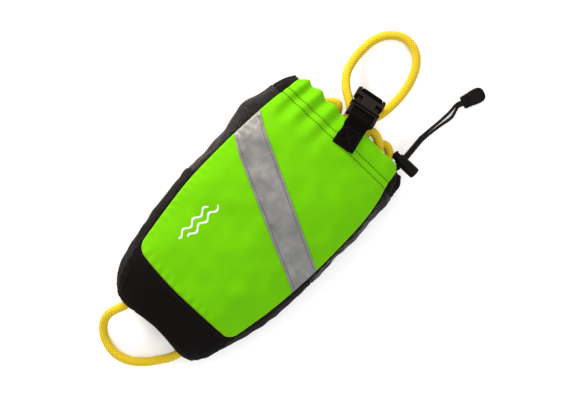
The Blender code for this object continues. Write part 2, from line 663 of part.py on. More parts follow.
def buckle_plug(frame):
    """Frame with two bars for the strap, and the guide tongue between the latch arms."""
    outline = [(-RAIL_HALF, PLUG_START + 0.0015), (-RAIL_HALF + 0.0015, PLUG_START),
               (RAIL_HALF - 0.0015, PLUG_START), (RAIL_HALF, PLUG_START + 0.0015),
               (RAIL_HALF, PLUG_FACE), (TONGUE_HALF, PLUG_FACE), (-TONGUE_HALF, PLUG_FACE),
               (-RAIL_HALF, PLUG_FACE)]
    plug = prism("buckle_plug", outline, -RAIL_N, RAIL_N, frame, "plastic")
    for k, (low, high) in enumerate(((NEAR_BAR[1], FAR_BAR[0]), (FAR_BAR[1], -0.0024))):
        hole = block(f"cut_plug_slot_{k}", (-RAIL_IN, low, -0.02), (RAIL_IN, high, 0.02), frame,
                     "plastic")
        boolean(plug, hole)
    for name, side in (("top", 1), ("under", -1)):
        relief = block(f"cut_plug_{name}", (-RAIL_IN, PLUG_START - 0.002, min(side * BAR_N, side * 0.02)),
                       (RAIL_IN, FAR_BAR[1], max(side * BAR_N, side * 0.02)), frame, "plastic")
        boolean(plug, relief)
    tongue = prism("join_tongue", [(-TONGUE_HALF, PLUG_FACE - 0.001), (TONGUE_HALF, PLUG_FACE - 0.001),
                                   (TONGUE_HALF, TONGUE_END - 0.002), (TONGUE_HALF - 0.0012, TONGUE_END),
                                   (-TONGUE_HALF + 0.0012, TONGUE_END), (-TONGUE_HALF, TONGUE_END - 0.002)],
                   -TONGUE_N, TONGUE_N, frame, "plastic")
    boolean(plug, tongue, "UNION")


def latch_arm(name, side, frame):
    """Springy arm with a round thumb pad; its origin is on its flexing root."""
    root_p = ARM_HALF
    axis = empty(f"{name}_axis", frame, Matrix.Translation((side * ARM_Q, root_p, 0)))
    pad_middle = (PAD_Q - ARM_Q, PAD_P - root_p)
    pad = arc(pad_middle, PAD_R, 90, 232, 6)
    outline = arc((0, 0), ARM_HALF, 180, 360, 6)
    outline += [(ARM_HALF, PAD_P - root_p - 0.002), (ARM_HALF, PAD_P - root_p + 0.002)]
    outline += [(ARM_HALF - 0.0006, ARM_TIP - root_p - 0.0010), (-0.0010, ARM_TIP - root_p)]
    outline += pad
    outline = [(side * x, y) for x, y in outline]
    if side < 0:
        outline = outline[::-1]
    prism(name, outline, -ARM_N, ARM_N, axis, "plastic")


def buckle_socket(frame):
    socket = block("buckle_socket", (-SOCKET_HALF, GAP, -SOCKET_N), (SOCKET_HALF, SOCKET_END, SOCKET_N),
                   frame, "plastic", bevel=0.0012)
    cuts = [("cavity", (-CAVITY_HALF, -0.002, -CAVITY_N), (CAVITY_HALF, CAVITY_END, CAVITY_N)),
            ("notch_left", (-0.02, NOTCH_P[0], -0.02), (-NOTCH_Q, NOTCH_P[1], 0.02)),
            ("notch_right", (NOTCH_Q, NOTCH_P[0], -0.02), (0.02, NOTCH_P[1], 0.02)),
            ("slot", (-RAIL_IN, SLOT_P[0], -0.02), (RAIL_IN, SLOT_P[1], 0.02)),
            ("bar_top", (-RAIL_IN, SLOT_P[0], 0.0016), (RAIL_IN, 0.04, 0.02)),
            ("bar_under", (-RAIL_IN, SLOT_P[0], -0.02), (RAIL_IN, 0.04, -0.0016))]
    for name, low, high in cuts:
        boolean(socket, block(f"cut_socket_{name}", low, high, frame, "plastic"))


def strap_and_buckle(root):
    strap_axis = empty("strap_axis", root, Matrix.Translation((STRAP_X, STRAP_Y, 0))
                       @ Matrix.Rotation(STRAP_YAW, 4, "Z"))
    front_strap(strap_axis)
    rear_straps(strap_axis)
    frame = empty("buckle_axis", strap_axis, Matrix.Translation((0, BUCKLE_H, BUCKLE_Z))
                  @ Matrix.Rotation(-BUCKLE_PITCH, 4, "X"))
    buckle_plug(frame)
    latch_arm("latch_arm_left", -1, frame)
    latch_arm("latch_arm_right", 1, frame)
    buckle_socket(frame)


def build():
    clear_scene()
    root = empty("bag_frame", None, Matrix.Translation((0, -FRAME_Y, 0)))
    bag_panels(root)
    base(root)
    drawcord_channel(root)
    rope(root)
    drawcord(root)
    cord_lock(root)
    cord_end(root)
    strap_and_buckle(root)


build()
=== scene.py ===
"""Looks of the throw rope bag: a fabric shell stuffed with one long rope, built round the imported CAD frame.

All lengths are in metres. The bag's own tables use y from the middle of the bag, as the CAD source does;
bag_point() moves them to the row frame.
"""

import math

import bmesh
import bpy
import numpy as np
from mathutils import Matrix, Vector


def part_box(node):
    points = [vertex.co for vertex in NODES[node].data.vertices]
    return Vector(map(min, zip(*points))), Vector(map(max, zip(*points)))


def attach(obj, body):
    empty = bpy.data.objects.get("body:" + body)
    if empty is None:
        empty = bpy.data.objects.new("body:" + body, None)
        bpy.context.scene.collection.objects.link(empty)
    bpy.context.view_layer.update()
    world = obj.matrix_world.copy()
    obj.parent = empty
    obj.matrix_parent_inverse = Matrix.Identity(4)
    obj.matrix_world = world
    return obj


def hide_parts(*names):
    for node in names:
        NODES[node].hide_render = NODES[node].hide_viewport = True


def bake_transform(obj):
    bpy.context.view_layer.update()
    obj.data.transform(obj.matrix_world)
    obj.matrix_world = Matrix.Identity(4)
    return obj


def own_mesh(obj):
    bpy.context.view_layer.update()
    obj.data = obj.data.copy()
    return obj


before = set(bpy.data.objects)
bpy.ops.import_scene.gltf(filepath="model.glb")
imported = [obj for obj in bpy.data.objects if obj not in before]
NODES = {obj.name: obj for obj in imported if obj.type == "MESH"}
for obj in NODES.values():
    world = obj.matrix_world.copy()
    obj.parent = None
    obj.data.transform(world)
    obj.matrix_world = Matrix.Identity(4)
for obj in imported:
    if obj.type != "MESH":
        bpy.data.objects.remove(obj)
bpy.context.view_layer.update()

# ---- driving dimensions, as in the CAD source -----------------------------------------------------
BASE_Y, MOUTH_Y, SIDE_MOUTH_Y = -0.147, 0.152, 0.148
MESH_SEAM_Y, HEM_SEAM_Y = 0.000, 0.124
FRAME_Y = MOUTH_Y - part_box("front_panel")[1].y

HALF_WIDTH = ((-0.147, 0.052), (-0.135, 0.060), (-0.105, 0.0685), (-0.06, 0.0735),
              (0.0, 0.0775), (0.06, 0.0780), (0.11, 0.0745), (0.152, 0.0685))
FRONT_HEIGHT = ((-0.147, 0.048), (-0.12, 0.057), (-0.06, 0.065), (0.02, 0.069),
                (0.08, 0.067), (0.12, 0.061), (0.152, 0.052))
CROWN = ((-0.147, 0.004), (-0.09, 0.008), (0.06, 0.009), (0.152, 0.007))
BULGE = ((-0.147, 0.004), (-0.10, 0.010), (0.0, 0.013), (0.07, 0.018), (0.12, 0.011), (0.152, 0.005))
BACK_FLAT_Y = (-0.125, 0.095)
BACK_RISE, BACK_FLAT_SHARE, BACK_EDGE_LIFT = 0.008, 0.7, 0.0025

ROPE_R, DRAWCORD_R, CORD_LOOK_R = 0.00475, 0.0015, 0.00166
DRAWCORD_DEPTH, DRAWCORD_Y = 0.0031, 0.141
STRAP_HALF, STRAP_THICK = 0.0125, 0.0015
STRAP_X, STRAP_Y, STRAP_YAW = 0.0105, 0.1250, math.radians(10)
BUCKLE_H, BUCKLE_Z, BUCKLE_PITCH = 0.0450, 0.0475, math.radians(45)
LOCK_SLOPE, LOCK_STEP, STRAND_OFF = math.radians(25), 0.0135, 0.00165

TAPE_MID_Y, TAPE_SLOPE, TAPE_HALF, TAPE_HALF_X = 0.0347, -0.505, 0.0185, 0.078
CLOTH_THICK, TAPE_THICK, FACING_THICK, BASE_THICK, INK_THICK = 0.0008, 0.0004, 0.0006, 0.0007, 0.0002
EPS = 1e-9


# ---- numbers --------------------------------------------------------------------------------------
def smooth(table, y):
    """Values at y (a number or an array) on a smooth curve through a table of (y, value)."""
    ys, vs = (np.array(column, float) for column in zip(*table))
    slopes = np.gradient(vs, ys)
    slopes[1:-1] = (vs[2:] - vs[:-2]) / (ys[2:] - ys[:-2])
    y = np.clip(y, ys[0], ys[-1])
    i = np.clip(np.searchsorted(ys, y, side="right") - 1, 0, len(ys) - 2)
    span = ys[i + 1] - ys[i]
    s = (y - ys[i]) / span
    return ((2 * s**3 - 3 * s**2 + 1) * vs[i] + (s**3 - 2 * s**2 + s) * slopes[i] * span
            + (3 * s**2 - 2 * s**3) * vs[i + 1] + (s**3 - s**2) * slopes[i + 1] * span)


def ease(s):
    s = np.clip(s, 0.0, 1.0)
    return s * s * (3 - 2 * s)


def ramp(value, low, high):
    """0 below low, 1 above high, smooth between."""
    return ease((value - low) / (high - low))


def hill(value, middle, half):
    """A smooth bump of height 1, gone half away from its middle."""
    return ease(1 - np.abs(value - middle) / half)


def hills(table, value):
    """The sum of a table of (height, middle, half) hills."""
    return sum(height * hill(value, middle, half) for height, middle, half in table)


def noise(x, y, size, seed, waves=9):
    """Smooth uneven values from about -1 to 1, with features of that size."""
    rng = np.random.default_rng(seed)
    total = 0.0
    for _ in range(waves):
        turn, phase, stretch = rng.uniform(0, 2 * math.pi), rng.uniform(0, 2 * math.pi), rng.uniform(0.6, 1.5)
        total = total + np.sin((x * math.cos(turn) + y * math.sin(turn)) * math.pi / (size * stretch) + phase)
    return total / math.sqrt(waves)


def unit(v):
    return v / np.maximum(np.linalg.norm(v, axis=-1, keepdims=True), EPS)


def length_along(line):
    """How far each point of a line is from its first one, along the line."""
    return np.concatenate([[0], np.cumsum(np.linalg.norm(np.diff(line, axis=0), axis=1))])


def bag_point(p):
    """A point of the bag's own tables in the row frame."""
    return np.asarray(p, float) - np.array([0.0, FRAME_Y, 0.0])


def smooth_route(points, spacing):
    """Points about that far apart on a smooth curve through the route's points."""
    pts = np.array(points, float)
    pts = np.vstack([2 * pts[0] - pts[1], pts, 2 * pts[-1] - pts[-2]])
    fine = []
    for p0, p1, p2, p3 in zip(pts, pts[1:], pts[2:], pts[3:]):
        t1 = math.sqrt(np.linalg.norm(p1 - p0))
        t2 = t1 + math.sqrt(np.linalg.norm(p2 - p1))
        t3 = t2 + math.sqrt(np.linalg.norm(p3 - p2))
        count = max(8, math.ceil(np.linalg.norm(p2 - p1) / spacing * 2))
        t = np.linspace(t1, t2, count, endpoint=False)[:, None]
        a1 = p0 * ((t1 - t) / t1) + p1 * (t / t1)
        a2 = p1 * ((t2 - t) / (t2 - t1)) + p2 * ((t - t1) / (t2 - t1))
        a3 = p2 * ((t3 - t) / (t3 - t2)) + p3 * ((t - t2) / (t3 - t2))
        b1 = a1 * ((t2 - t) / t2) + a2 * (t / t2)
        b2 = a2 * ((t3 - t) / (t3 - t1)) + a3 * ((t - t1) / (t3 - t1))
        fine.append(b1 * ((t2 - t) / (t2 - t1)) + b2 * ((t - t1) / (t2 - t1)))
    fine = np.vstack(fine + [pts[-2:-1]])
    along = length_along(fine)
    goal = np.linspace(0, along[-1], max(3, round(along[-1] / spacing) + 1))
    return np.stack([np.interp(goal, along, fine[:, k]) for k in range(3)], axis=1)


# ---- meshes ---------------------------------------------------------------------------------------
def mesh_piece(name, points, faces, uvs=None):
    """A mesh object; uvs holds one (u, v) in metres for each corner of each face."""
    mesh = bpy.data.meshes.new(name)
    mesh.from_pydata([tuple(p) for p in points], [], [tuple(f) for f in faces])
    if uvs is not None:
        layer = mesh.uv_layers.new(name="cloth")
        layer.data.foreach_set("uv", np.asarray(uvs, np.float32).ravel())
    mesh.shade_smooth()
    obj = bpy.data.objects.new(name, mesh)
    bpy.context.scene.collection.objects.link(obj)
    return obj


def grid_faces(rows, columns, around=False, offset=0):
    """Faces of a grid of vertices, row by row; around joins the last column to the first."""
    j, i = np.meshgrid(np.arange(rows - 1), np.arange(columns if around else columns - 1), indexing="ij")
    right = (i + 1) % columns
    faces = np.stack([j * columns + i, j * columns + right, (j + 1) * columns + right,
                      (j + 1) * columns + i], axis=-1).reshape(-1, 4)
    return faces + offset


def grid_uvs(u, v):
    """Corner coordinates for grid_faces, from u and v at each vertex (around grids give one more column)."""
    corners = np.stack([np.stack([u[:-1, :-1], v[:-1, :-1]], -1), np.stack([u[:-1, 1:], v[:-1, 1:]], -1),
                        np.stack([u[1:, 1:], v[1:, 1:]], -1), np.stack([u[1:, :-1], v[1:, :-1]], -1)], axis=2)
    return corners.reshape(-1, 2)


def lengths_of(points):
    """Distances along a grid's rows, from near their middles, and down its columns."""
    across = np.zeros(points.shape[:2])
    along = np.zeros(points.shape[:2])
    across[:, 1:] = np.cumsum(np.linalg.norm(np.diff(points, axis=1), axis=2), axis=1)
    along[1:, :] = np.cumsum(np.linalg.norm(np.diff(points, axis=0), axis=2), axis=0)
    return across - across[:, -1:] / 2, along


def thicken(obj, name, thick):
    """Gives a sheet its thickness, on its inner side."""
    solid = obj.modifiers.new(name, "SOLIDIFY")
    solid.thickness, solid.offset = thick, -1.0


def cloth_piece(name, grid, look, node, thick=CLOTH_THICK):
    """A sheet of the bag from a grid of points, in place of a CAD node."""
    grid = outward(grid)
    obj = mesh_piece(name, bag_point(grid.reshape(-1, 3)), grid_faces(*grid.shape[:2]),
                     grid_uvs(*lengths_of(grid)))
    thicken(obj, "thickness", thick)
    finish(obj, "bag", look)
    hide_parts(node)


def finish(obj, body, look):
    obj.data.materials.append(look)
    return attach(obj, body) if body else obj


def join_parts(parts):
    """(points, faces, uvs) of several meshes as one."""
    points, faces, uvs, count = [], [], [], 0
    for p, f, uv in parts:
        points.append(p)
        faces += [tuple(np.asarray(face) + count) for face in f]
        uvs.append(uv)
        count += len(p)
    return np.vstack(points), faces, np.vstack(uvs)


# ---- tubes ----------------------------------------------------------------------------------------
def frames_along(line):
    """Tangents and two cross directions that don't twist, at each point of a line."""
    tangent = unit(np.gradient(line, axis=0))
    side = np.zeros_like(line)
    start = np.cross(tangent[0], [0.0, 0.0, 1.0])
    side[0] = unit(start if np.linalg.norm(start) > 0.1 else np.cross(tangent[0], [1.0, 0.0, 0.0]))
    for k in range(1, len(line)):
        v = side[k - 1] - tangent[k] * (side[k - 1] @ tangent[k])
        side[k] = v / max(np.linalg.norm(v), EPS)
    return tangent, side, np.cross(tangent, side)


def braid(u, along, strands, pitch):
    """Height, 0 to 1, of a braid of that many strands each way: u goes round from 0 to 1."""
    p = strands * u + along / pitch
    q = strands * u - along / pitch
    fp, fq = p - np.floor(p), q - np.floor(q)
    over = (np.floor(p) + np.floor(q)) % 2 < 0.5
    across, down = np.where(over, fp, fq), np.where(over, fq, fp)
    return np.sin(np.pi * across) ** 0.6 * (0.35 + 0.65 * np.sin(np.pi * down) ** 0.7)


def tube_faces(rows, sides):
    """Faces of a tube of rings, with a cap on each end."""
    faces = [tuple(f) for f in grid_faces(rows, sides, around=True)]
    return faces + [tuple(range(sides))[::-1], tuple(range((rows - 1) * sides, rows * sides))]


def tube_part(line, radius, sides, strands, pitch, depth):
    """A braided tube round a line of points; depth is how far the braid's gaps go in."""
    _, side, up = frames_along(line)
    along = length_along(line)
    u = np.arange(sides + 1) / sides
    grid_u, grid_v = np.meshgrid(u, along)
    height = braid(grid_u[:, :-1], grid_v[:, :-1], strands, pitch) if depth else 0.5
    r = radius - depth * (0.62 - height) if depth else np.full((len(line), sides), radius)
    turn = 2 * np.pi * u[:-1]
    ring = side[:, None] * np.cos(turn)[None, :, None] + up[:, None] * np.sin(turn)[None, :, None]
    points = (line[:, None] + ring * r[..., None]).reshape(-1, 3)
    uvs = np.vstack([grid_uvs(grid_u, grid_v), np.zeros((2 * sides, 2))])
    return points, tube_faces(len(line), sides), uvs


# ---- materials ------------------------------------------------------------------------------------
class Look:
    """A node material built step by step round one Principled shader."""

    def __init__(self, name, colour, roughness, **sockets):
        self.material = bpy.data.materials.new(name)
        self.material.use_nodes = True
        self.tree = self.material.node_tree
        self.shader = self.tree.nodes["Principled BSDF"]
        self.set("Base Color", (*colour, 1.0))
        self.set("Roughness", roughness)
        for socket, value in sockets.items():
            self.set(socket.replace("_", " "), value)

    def set(self, socket, value):
        if isinstance(value, bpy.types.NodeSocket):
            self.tree.links.new(value, self.shader.inputs[socket])
        else:
            self.shader.inputs[socket].default_value = value

    def add(self, kind, output=0, **values):
        node = self.tree.nodes.new(kind)
        for key, value in values.items():
            if key.startswith("in_"):
                socket = node.inputs[int(key[3:])]
                if isinstance(value, bpy.types.NodeSocket):
                    self.tree.links.new(value, socket)
                else:
                    socket.default_value = value
            else:
                setattr(node, key, value)
        return node.outputs[output]

    def math(self, operation, a, b=0.0, c=0.0):
        return self.add("ShaderNodeMath", operation=operation, in_0=a, in_1=b, in_2=c)

    def plus(self, a, b):
        return self.math("ADD", a, b)

    def times(self, a, b):
        return self.math("MULTIPLY", a, b)

    def ribs(self, value, pitch):
        """Heights from 0 to 1 of ribs that far apart."""
        return self.math("ABSOLUTE", self.math("SINE", self.times(value, math.pi / pitch)))

    def cloth(self):
        """The piece's own (u, v) in metres, as two sockets."""
        split = self.tree.nodes.new("ShaderNodeSeparateXYZ")
        uv = self.add("ShaderNodeUVMap", uv_map="cloth")
        self.tree.links.new(uv, split.inputs[0])
        return split.outputs[0], split.outputs[1]

    def place(self):
        return self.add("ShaderNodeTexCoord", output=3)

    def noise(self, vector, scale, detail=3.0, roughness=0.5):
        return self.add("ShaderNodeTexNoise", in_0=vector, in_2=scale, in_3=detail, in_4=roughness)

    def ramp(self, value, *stops):
        node = self.tree.nodes.new("ShaderNodeValToRGB")
        self.tree.links.new(value, node.inputs[0])
        elements = node.color_ramp.elements
        while len(elements) < len(stops):
            elements.new(0.5)
        for element, (position, colour) in zip(elements, stops):
            element.position = position
            element.color = (*colour, 1.0)
        return node.outputs[0]

    def grey(self, value, low, high, to_low=0.0, to_high=1.0):
        return self.add("ShaderNodeMapRange", in_0=value, in_1=low, in_2=high, in_3=to_low, in_4=to_high)

    def mix(self, share, a, b, blend="MIX"):
        node = self.tree.nodes.new("ShaderNodeMix")
        node.data_type = "RGBA"
        node.blend_type = blend
        for socket, value in ((node.inputs[0], share), (node.inputs[6], a), (node.inputs[7], b)):
            if isinstance(value, bpy.types.NodeSocket):
                self.tree.links.new(value, socket)
            elif socket.type == "RGBA":
                socket.default_value = (*value, 1.0)
            else:
                socket.default_value = value
        return node.outputs[2]

    def bump(self, height, distance, strength=1.0):
        node = self.tree.nodes.new("ShaderNodeBump")
        node.inputs["Distance"].default_value = distance
        node.inputs["Strength"].default_value = strength
        self.tree.links.new(height, node.inputs["Height"])
        self.set("Normal", node.outputs[0])

    def weave(self, pitch):
        """Height of a plain weave with that yarn pitch."""
        u, v = self.cloth()
        across = self.math("SINE", self.times(u, math.pi / pitch))
        down = self.math("SINE", self.times(v, math.pi / pitch))
        checker = self.times(across, down)
        ribs_u = self.math("ABSOLUTE", across)
        ribs_v = self.math("ABSOLUTE", down)
        over = self.math("GREATER_THAN", checker, 0.0)
        under = self.math("SUBTRACT", 1.0, over)
        return self.plus(self.times(ribs_u, over), self.times(ribs_v, under))


def fabric_look(name, colour, deep, roughness, pitch, sheen, height, mottle=0.12, **sockets):
    look = Look(name, colour, roughness, Sheen_Weight=sheen, Sheen_Roughness=0.4, **sockets)
    weave = look.weave(pitch)
    uneven = look.noise(look.place(), 60.0, 4.0)
    shade = look.plus(look.grey(weave, 0.0, 1.0, 0.0, 0.75), look.grey(uneven, 0.3, 0.7, 0.0, 0.25))
    pale = [min(1, c * (1 + mottle)) for c in colour]
    look.set("Base Color", look.ramp(shade, (0.0, deep), (0.55, colour), (1.0, pale)))
    look.set("Roughness", look.grey(uneven, 0.25, 0.75, roughness - 0.06, roughness + 0.06))
    look.bump(look.plus(weave, look.times(uneven, 0.6)), height)
    return look.material


def rope_look():
    """Yellow braid: the UVs are turns round the rope and metres along it."""
    look = Look("rope_yellow", (0.70, 0.46, 0.008), 0.42, Specular_IOR_Level=0.22)
    height, fibre = braid_nodes(look, ROPE_STRANDS, ROPE_PITCH)
    tone = look.plus(height, look.times(fibre, 0.22))
    look.set("Base Color", look.ramp(tone, (0.0, (0.27, 0.15, 0.0008)), (0.35, (0.51, 0.335, 0.002)),
                                     (0.7, (0.64, 0.455, 0.004)), (1.0, (0.72, 0.55, 0.018))))
    look.set("Roughness", look.grey(fibre, 0.0, 1.0, 0.38, 0.56))
    look.bump(look.plus(height, look.times(fibre, 0.35)), 0.0004)
    return look.material


def braid_nodes(look, strands, pitch):
    """The braid's height, 0 to 1, and the fine fibres along its strands."""
    u, v = look.cloth()
    turns, steps = look.times(u, strands), look.math("DIVIDE", v, pitch)
    p, q = look.plus(turns, steps), look.math("SUBTRACT", turns, steps)
    parity = look.math("MODULO", look.plus(look.math("FLOOR", p), look.math("FLOOR", q)), 2.0)
    over = look.math("LESS_THAN", look.math("ABSOLUTE", parity), 0.5)
    under = look.math("SUBTRACT", 1.0, over)

    def swap(a, b):
        return look.plus(look.times(a, over), look.times(b, under))

    fp, fq = look.math("FRACT", p), look.math("FRACT", q)
    across = look.math("SINE", look.times(swap(fp, fq), math.pi))
    down = look.math("SINE", look.times(swap(fq, fp), math.pi))
    height = look.times(look.math("POWER", across, 0.6), look.math("POWER", down, 0.5))
    fibre = look.math("ABSOLUTE", look.math("SINE", look.times(swap(fp, fq), 5 * math.pi)))
    return height, fibre


def cord_look():
    look = Look("drawcord_black", (0.004, 0.0036, 0.0036), 0.65, Specular_IOR_Level=0.12)
    height, fibre = braid_nodes(look, CORD_STRANDS, CORD_PITCH)
    look.set("Base Color", look.ramp(height, (0.0, (0.0012, 0.0012, 0.0012)),
                                     (1.0, (0.0070, 0.0062, 0.0060))))
    look.bump(look.plus(height, look.times(fibre, 0.3)), 0.0002)
    return look.material


def print_look():
    """White print on cloth, with the weave showing through."""
    look = Look("print_white", (0.62, 0.66, 0.62), 0.6, Specular_IOR_Level=0.2)
    worn = look.noise(look.place(), 420.0, 4.0, 0.6)
    look.set("Base Color", look.ramp(worn, (0.30, (0.42, 0.52, 0.38)), (0.5, (0.60, 0.64, 0.60))))
    look.bump(look.plus(look.weave(0.0009), worn), 0.00005)
    return look.material


def plastic_look(name, colour, roughness, specular):
    """Moulded plastic with a fine spark-eroded grain and a little wear."""
    look = Look(name, colour, roughness, Specular_IOR_Level=specular)
    place = look.place()
    grain, cloud = look.noise(place, 2600.0, 2.0), look.noise(place, 90.0, 3.0)
    light = [min(1.0, c * 1.7) for c in colour]
    look.set("Base Color", look.ramp(cloud, (0.3, colour), (0.75, light)))
    look.set("Roughness", look.grey(cloud, 0.3, 0.7, roughness - 0.05, roughness + 0.09))
    look.bump(grain, 0.00004)
    return look.material


def steel_look():
    look = Look("spring_wire", (0.6, 0.6, 0.62), 0.3, Metallic=1.0)
    look.set("Roughness", look.grey(look.noise(look.place(), 900.0), 0.3, 0.7, 0.22, 0.4))
    return look.material


def foam_look():
    look = Look("foam_grey", (0.5, 0.5, 0.47), 0.9)
    cells = look.add("ShaderNodeTexVoronoi", in_0=look.place(), in_2=900.0)
    look.set("Base Color", look.ramp(cells, (0.0, (0.36, 0.36, 0.34)), (0.6, (0.56, 0.56, 0.53))))
    look.bump(cells, 0.0003)
    return look.material


def tape_look():
    """Silver retroreflective tape: fine beads, a satin gloss, a faint honeycomb of creases and painted
    highlights in soft clouds.
    """
    look = Look("tape_silver", (0.17, 0.17, 0.175), 0.42, Metallic=0.40, Specular_IOR_Level=0.3)
    place = look.place()
    cloud, beads = look.noise(place, 55.0, 5.0, 0.62), look.noise(place, 3500.0, 1.0)
    # The base colour is lighter and darker in soft clouds: painted highlights and painted shade of the
    # crinkled tape.
    look.set("Base Color", look.ramp(cloud, (0.30, (0.128, 0.128, 0.125)), (0.50, (0.160, 0.160, 0.156)),
                                     (0.70, (0.215, 0.214, 0.207))))
    look.set("Roughness", look.grey(cloud, 0.3, 0.7, 0.40, 0.54))
    look.bump(look.plus(look.times(cloud, 6.0), beads), 0.00006)
    return look.material


def webbing_look():
    """Black nylon webbing: fine ribs across, made by rows of slanted yarns."""
    look = Look("webbing_black", (0.0012, 0.0011, 0.0010), 0.66, Specular_IOR_Level=0.018)
    u, v = look.cloth()
    ribs = look.ribs(v, 0.0011)
    zigzag = look.math("PINGPONG", u, 0.0018)
    slant = look.ribs(look.plus(v, look.times(zigzag, 1.2)), 0.0009)
    rows = look.ribs(u, 0.0018)
    height = look.plus(look.times(ribs, 0.35),
                       look.plus(look.times(slant, 0.5), look.times(rows, 0.3)))
    look.set("Base Color", look.ramp(height, (0.0, (0.0004, 0.0004, 0.0003)), (0.6, (0.0013, 0.0011, 0.0010)),
                                     (1.0, (0.0038, 0.0033, 0.0030))))
    look.bump(height, 0.00022)
    return look.material


def thread_look(name, colour):
    look = Look(name, colour, 0.6, Specular_IOR_Level=0.15)
    twist = look.add("ShaderNodeTexWave", in_0=look.place(), in_1=700.0)
    look.set("Base Color", look.mix(twist, [c * 0.6 for c in colour], colour))
    look.bump(twist, 0.0001)
    return look.material


ROPE_STRANDS, ROPE_PITCH, ROPE_DEPTH = 8, 0.0036, 0.00055
CORD_STRANDS, CORD_PITCH, CORD_DEPTH = 6, 0.0013, 0.00016

GREEN = fabric_look("green_nylon", (0.108, 0.400, 0.0010), (0.084, 0.330, 0.0008), 0.72, 0.0009, 0.55,
                    0.00006, Sheen_Tint=(1.0, 0.80, 0.06, 1.0), Specular_IOR_Level=0.04)
BLACK = fabric_look("black_nylon", (0.0022, 0.0016, 0.0013), (0.0009, 0.0007, 0.0006), 0.66, 0.0008, 0.006,
                    0.00008, mottle=0.5, Specular_IOR_Level=0.05)
NET = fabric_look("black_net", (0.0026, 0.0022, 0.0020), (0.0010, 0.0009, 0.0008), 0.42, 0.0007, 0.006,
                  0.0001, Specular_IOR_Level=0.10)
ROPE, CORD = rope_look(), cord_look()
TAPE, FOAM, WEBBING, STEEL = tape_look(), foam_look(), webbing_look(), steel_look()
BUCKLE_PLASTIC = plastic_look("buckle_plastic", (0.0042, 0.0030, 0.0020), 0.34, 0.09)
BLACK_PLASTIC = plastic_look("black_plastic", (0.0026, 0.0022, 0.0020), 0.42, 0.06)
DARK_THREAD = thread_look("thread_dark", (0.003, 0.016, 0.002))
BLACK_THREAD = thread_look("thread_black", (0.0075, 0.0065, 0.0062))
GREY_THREAD = thread_look("thread_grey", (0.045, 0.045, 0.060))
WHITE_PRINT = print_look()


# ---- the camera -----------------------------------------------------------------------------------
def look_from(name, target, back, right, distance, lens):
    """A camera whose picture's right side points along right, as seen from target + back."""
    camera = bpy.data.objects.new(name, bpy.data.cameras.new(name))
    bpy.context.scene.collection.objects.link(camera)
    back = Vector(back).normalized()
    right = (Vector(right) - back * back.dot(Vector(right))).normalized()
    up = back.cross(right)
    camera.matrix_world = Matrix((
        (right.x, up.x, back.x, target[0] + back.x * distance),
        (right.y, up.y, back.y, target[1] + back.y * distance),
        (right.z, up.z, back.z, target[2] + back.z * distance), (0, 0, 0, 1)))
    camera.data.lens = lens
    bpy.context.scene.camera = camera


CAMERA_TURN, CAMERA_LEAN = math.radians(43.3), math.radians(5)
CAMERA_DISTANCE, FIELD_WIDTH, SENSOR = 1.5, 0.603, 36.0
look_from("photo_camera", (0.0088, 0.0274, 0.065), (-math.sin(CAMERA_LEAN), 0, math.cos(CAMERA_LEAN)),
          (math.cos(CAMERA_TURN), math.sin(CAMERA_TURN), 0), CAMERA_DISTANCE,
          SENSOR * CAMERA_DISTANCE / FIELD_WIDTH)


# ---- the bag's skin -------------------------------------------------------------------------------
def back_height(y):
    base, mouth = BACK_FLAT_Y
    return BACK_RISE * np.where(y < base, ease((base - y) / (base - BASE_Y)),
                                ease((y - mouth) / (MOUTH_Y - mouth)))


def skin(y, side, t, depth=0.0):
    """Point of the CAD bag's skin: side and t go round the bag, and depth goes inwards."""
    y, t, depth = np.broadcast_arrays(np.asarray(y, float), np.asarray(t, float), np.asarray(depth, float))
    width = smooth(HALF_WIDTH, y) - depth
    front = smooth(FRONT_HEIGHT, y) - depth
    back = back_height(y) + depth
    if side == "front":
        x = width * (2 * t - 1)
        return np.stack([x, y, front + smooth(CROWN, y) * (1 - (x / width) ** 2)], -1)
    if side == "back":
        x = width * (1 - 2 * t)
        edge = np.maximum(0.0, (np.abs(x) / width - BACK_FLAT_SHARE) / (1 - BACK_FLAT_SHARE))
        return np.stack([x, y, back + BACK_EDGE_LIFT * edge**2], -1)
    low = back + BACK_EDGE_LIFT
    down = t if side == "right" else 1 - t
    x = width + smooth(BULGE, y) * np.sin(np.pi * down)
    return np.stack([x if side == "right" else -x, y, front + (low - front) * down], -1)


# ---- the rope: one length from its tail in the mouth to the stopper knot at the base --------------
HAND_LOOP = ((-0.0050, 0.1498, 0.0345), (-0.0055, 0.1590, 0.0345), (-0.0135, 0.1670, 0.0315),
             (-0.0262, 0.1760, 0.0250), (-0.0358, 0.1880, 0.0170), (-0.0398, 0.2030, 0.0092),
             (-0.0408, 0.2180, 0.0056), (-0.0390, 0.2350, 0.0049), (-0.0314, 0.2500, 0.0048),
             (-0.0164, 0.2600, 0.0048), (-0.0006, 0.2590, 0.0048), (0.0124, 0.2486, 0.0048),
             (0.0198, 0.2336, 0.0049), (0.0232, 0.2180, 0.0056), (0.0238, 0.2030, 0.0090),
             (0.0222, 0.1880, 0.0165), (0.0184, 0.1760, 0.0250), (0.0132, 0.1670, 0.0315),
             (0.0088, 0.1590, 0.0345), (0.0080, 0.1498, 0.0345))
BASE_LOOP = ((-0.0380, -0.1172, 0.0260), (-0.0380, -0.1400, 0.0260), (-0.0386, -0.1535, 0.0258),
             (-0.0428, -0.1650, 0.0215), (-0.0442, -0.1760, 0.0140), (-0.0404, -0.1866, 0.0080),
             (-0.0298, -0.1964, 0.0051), (-0.0114, -0.2016, 0.0048), (0.0068, -0.1970, 0.0051),
             (0.0204, -0.1856, 0.0080), (0.0300, -0.1720, 0.0145), (0.0358, -0.1612, 0.0215),
             (0.0380, -0.1530, 0.0258), (0.0380, -0.1408, 0.0260))
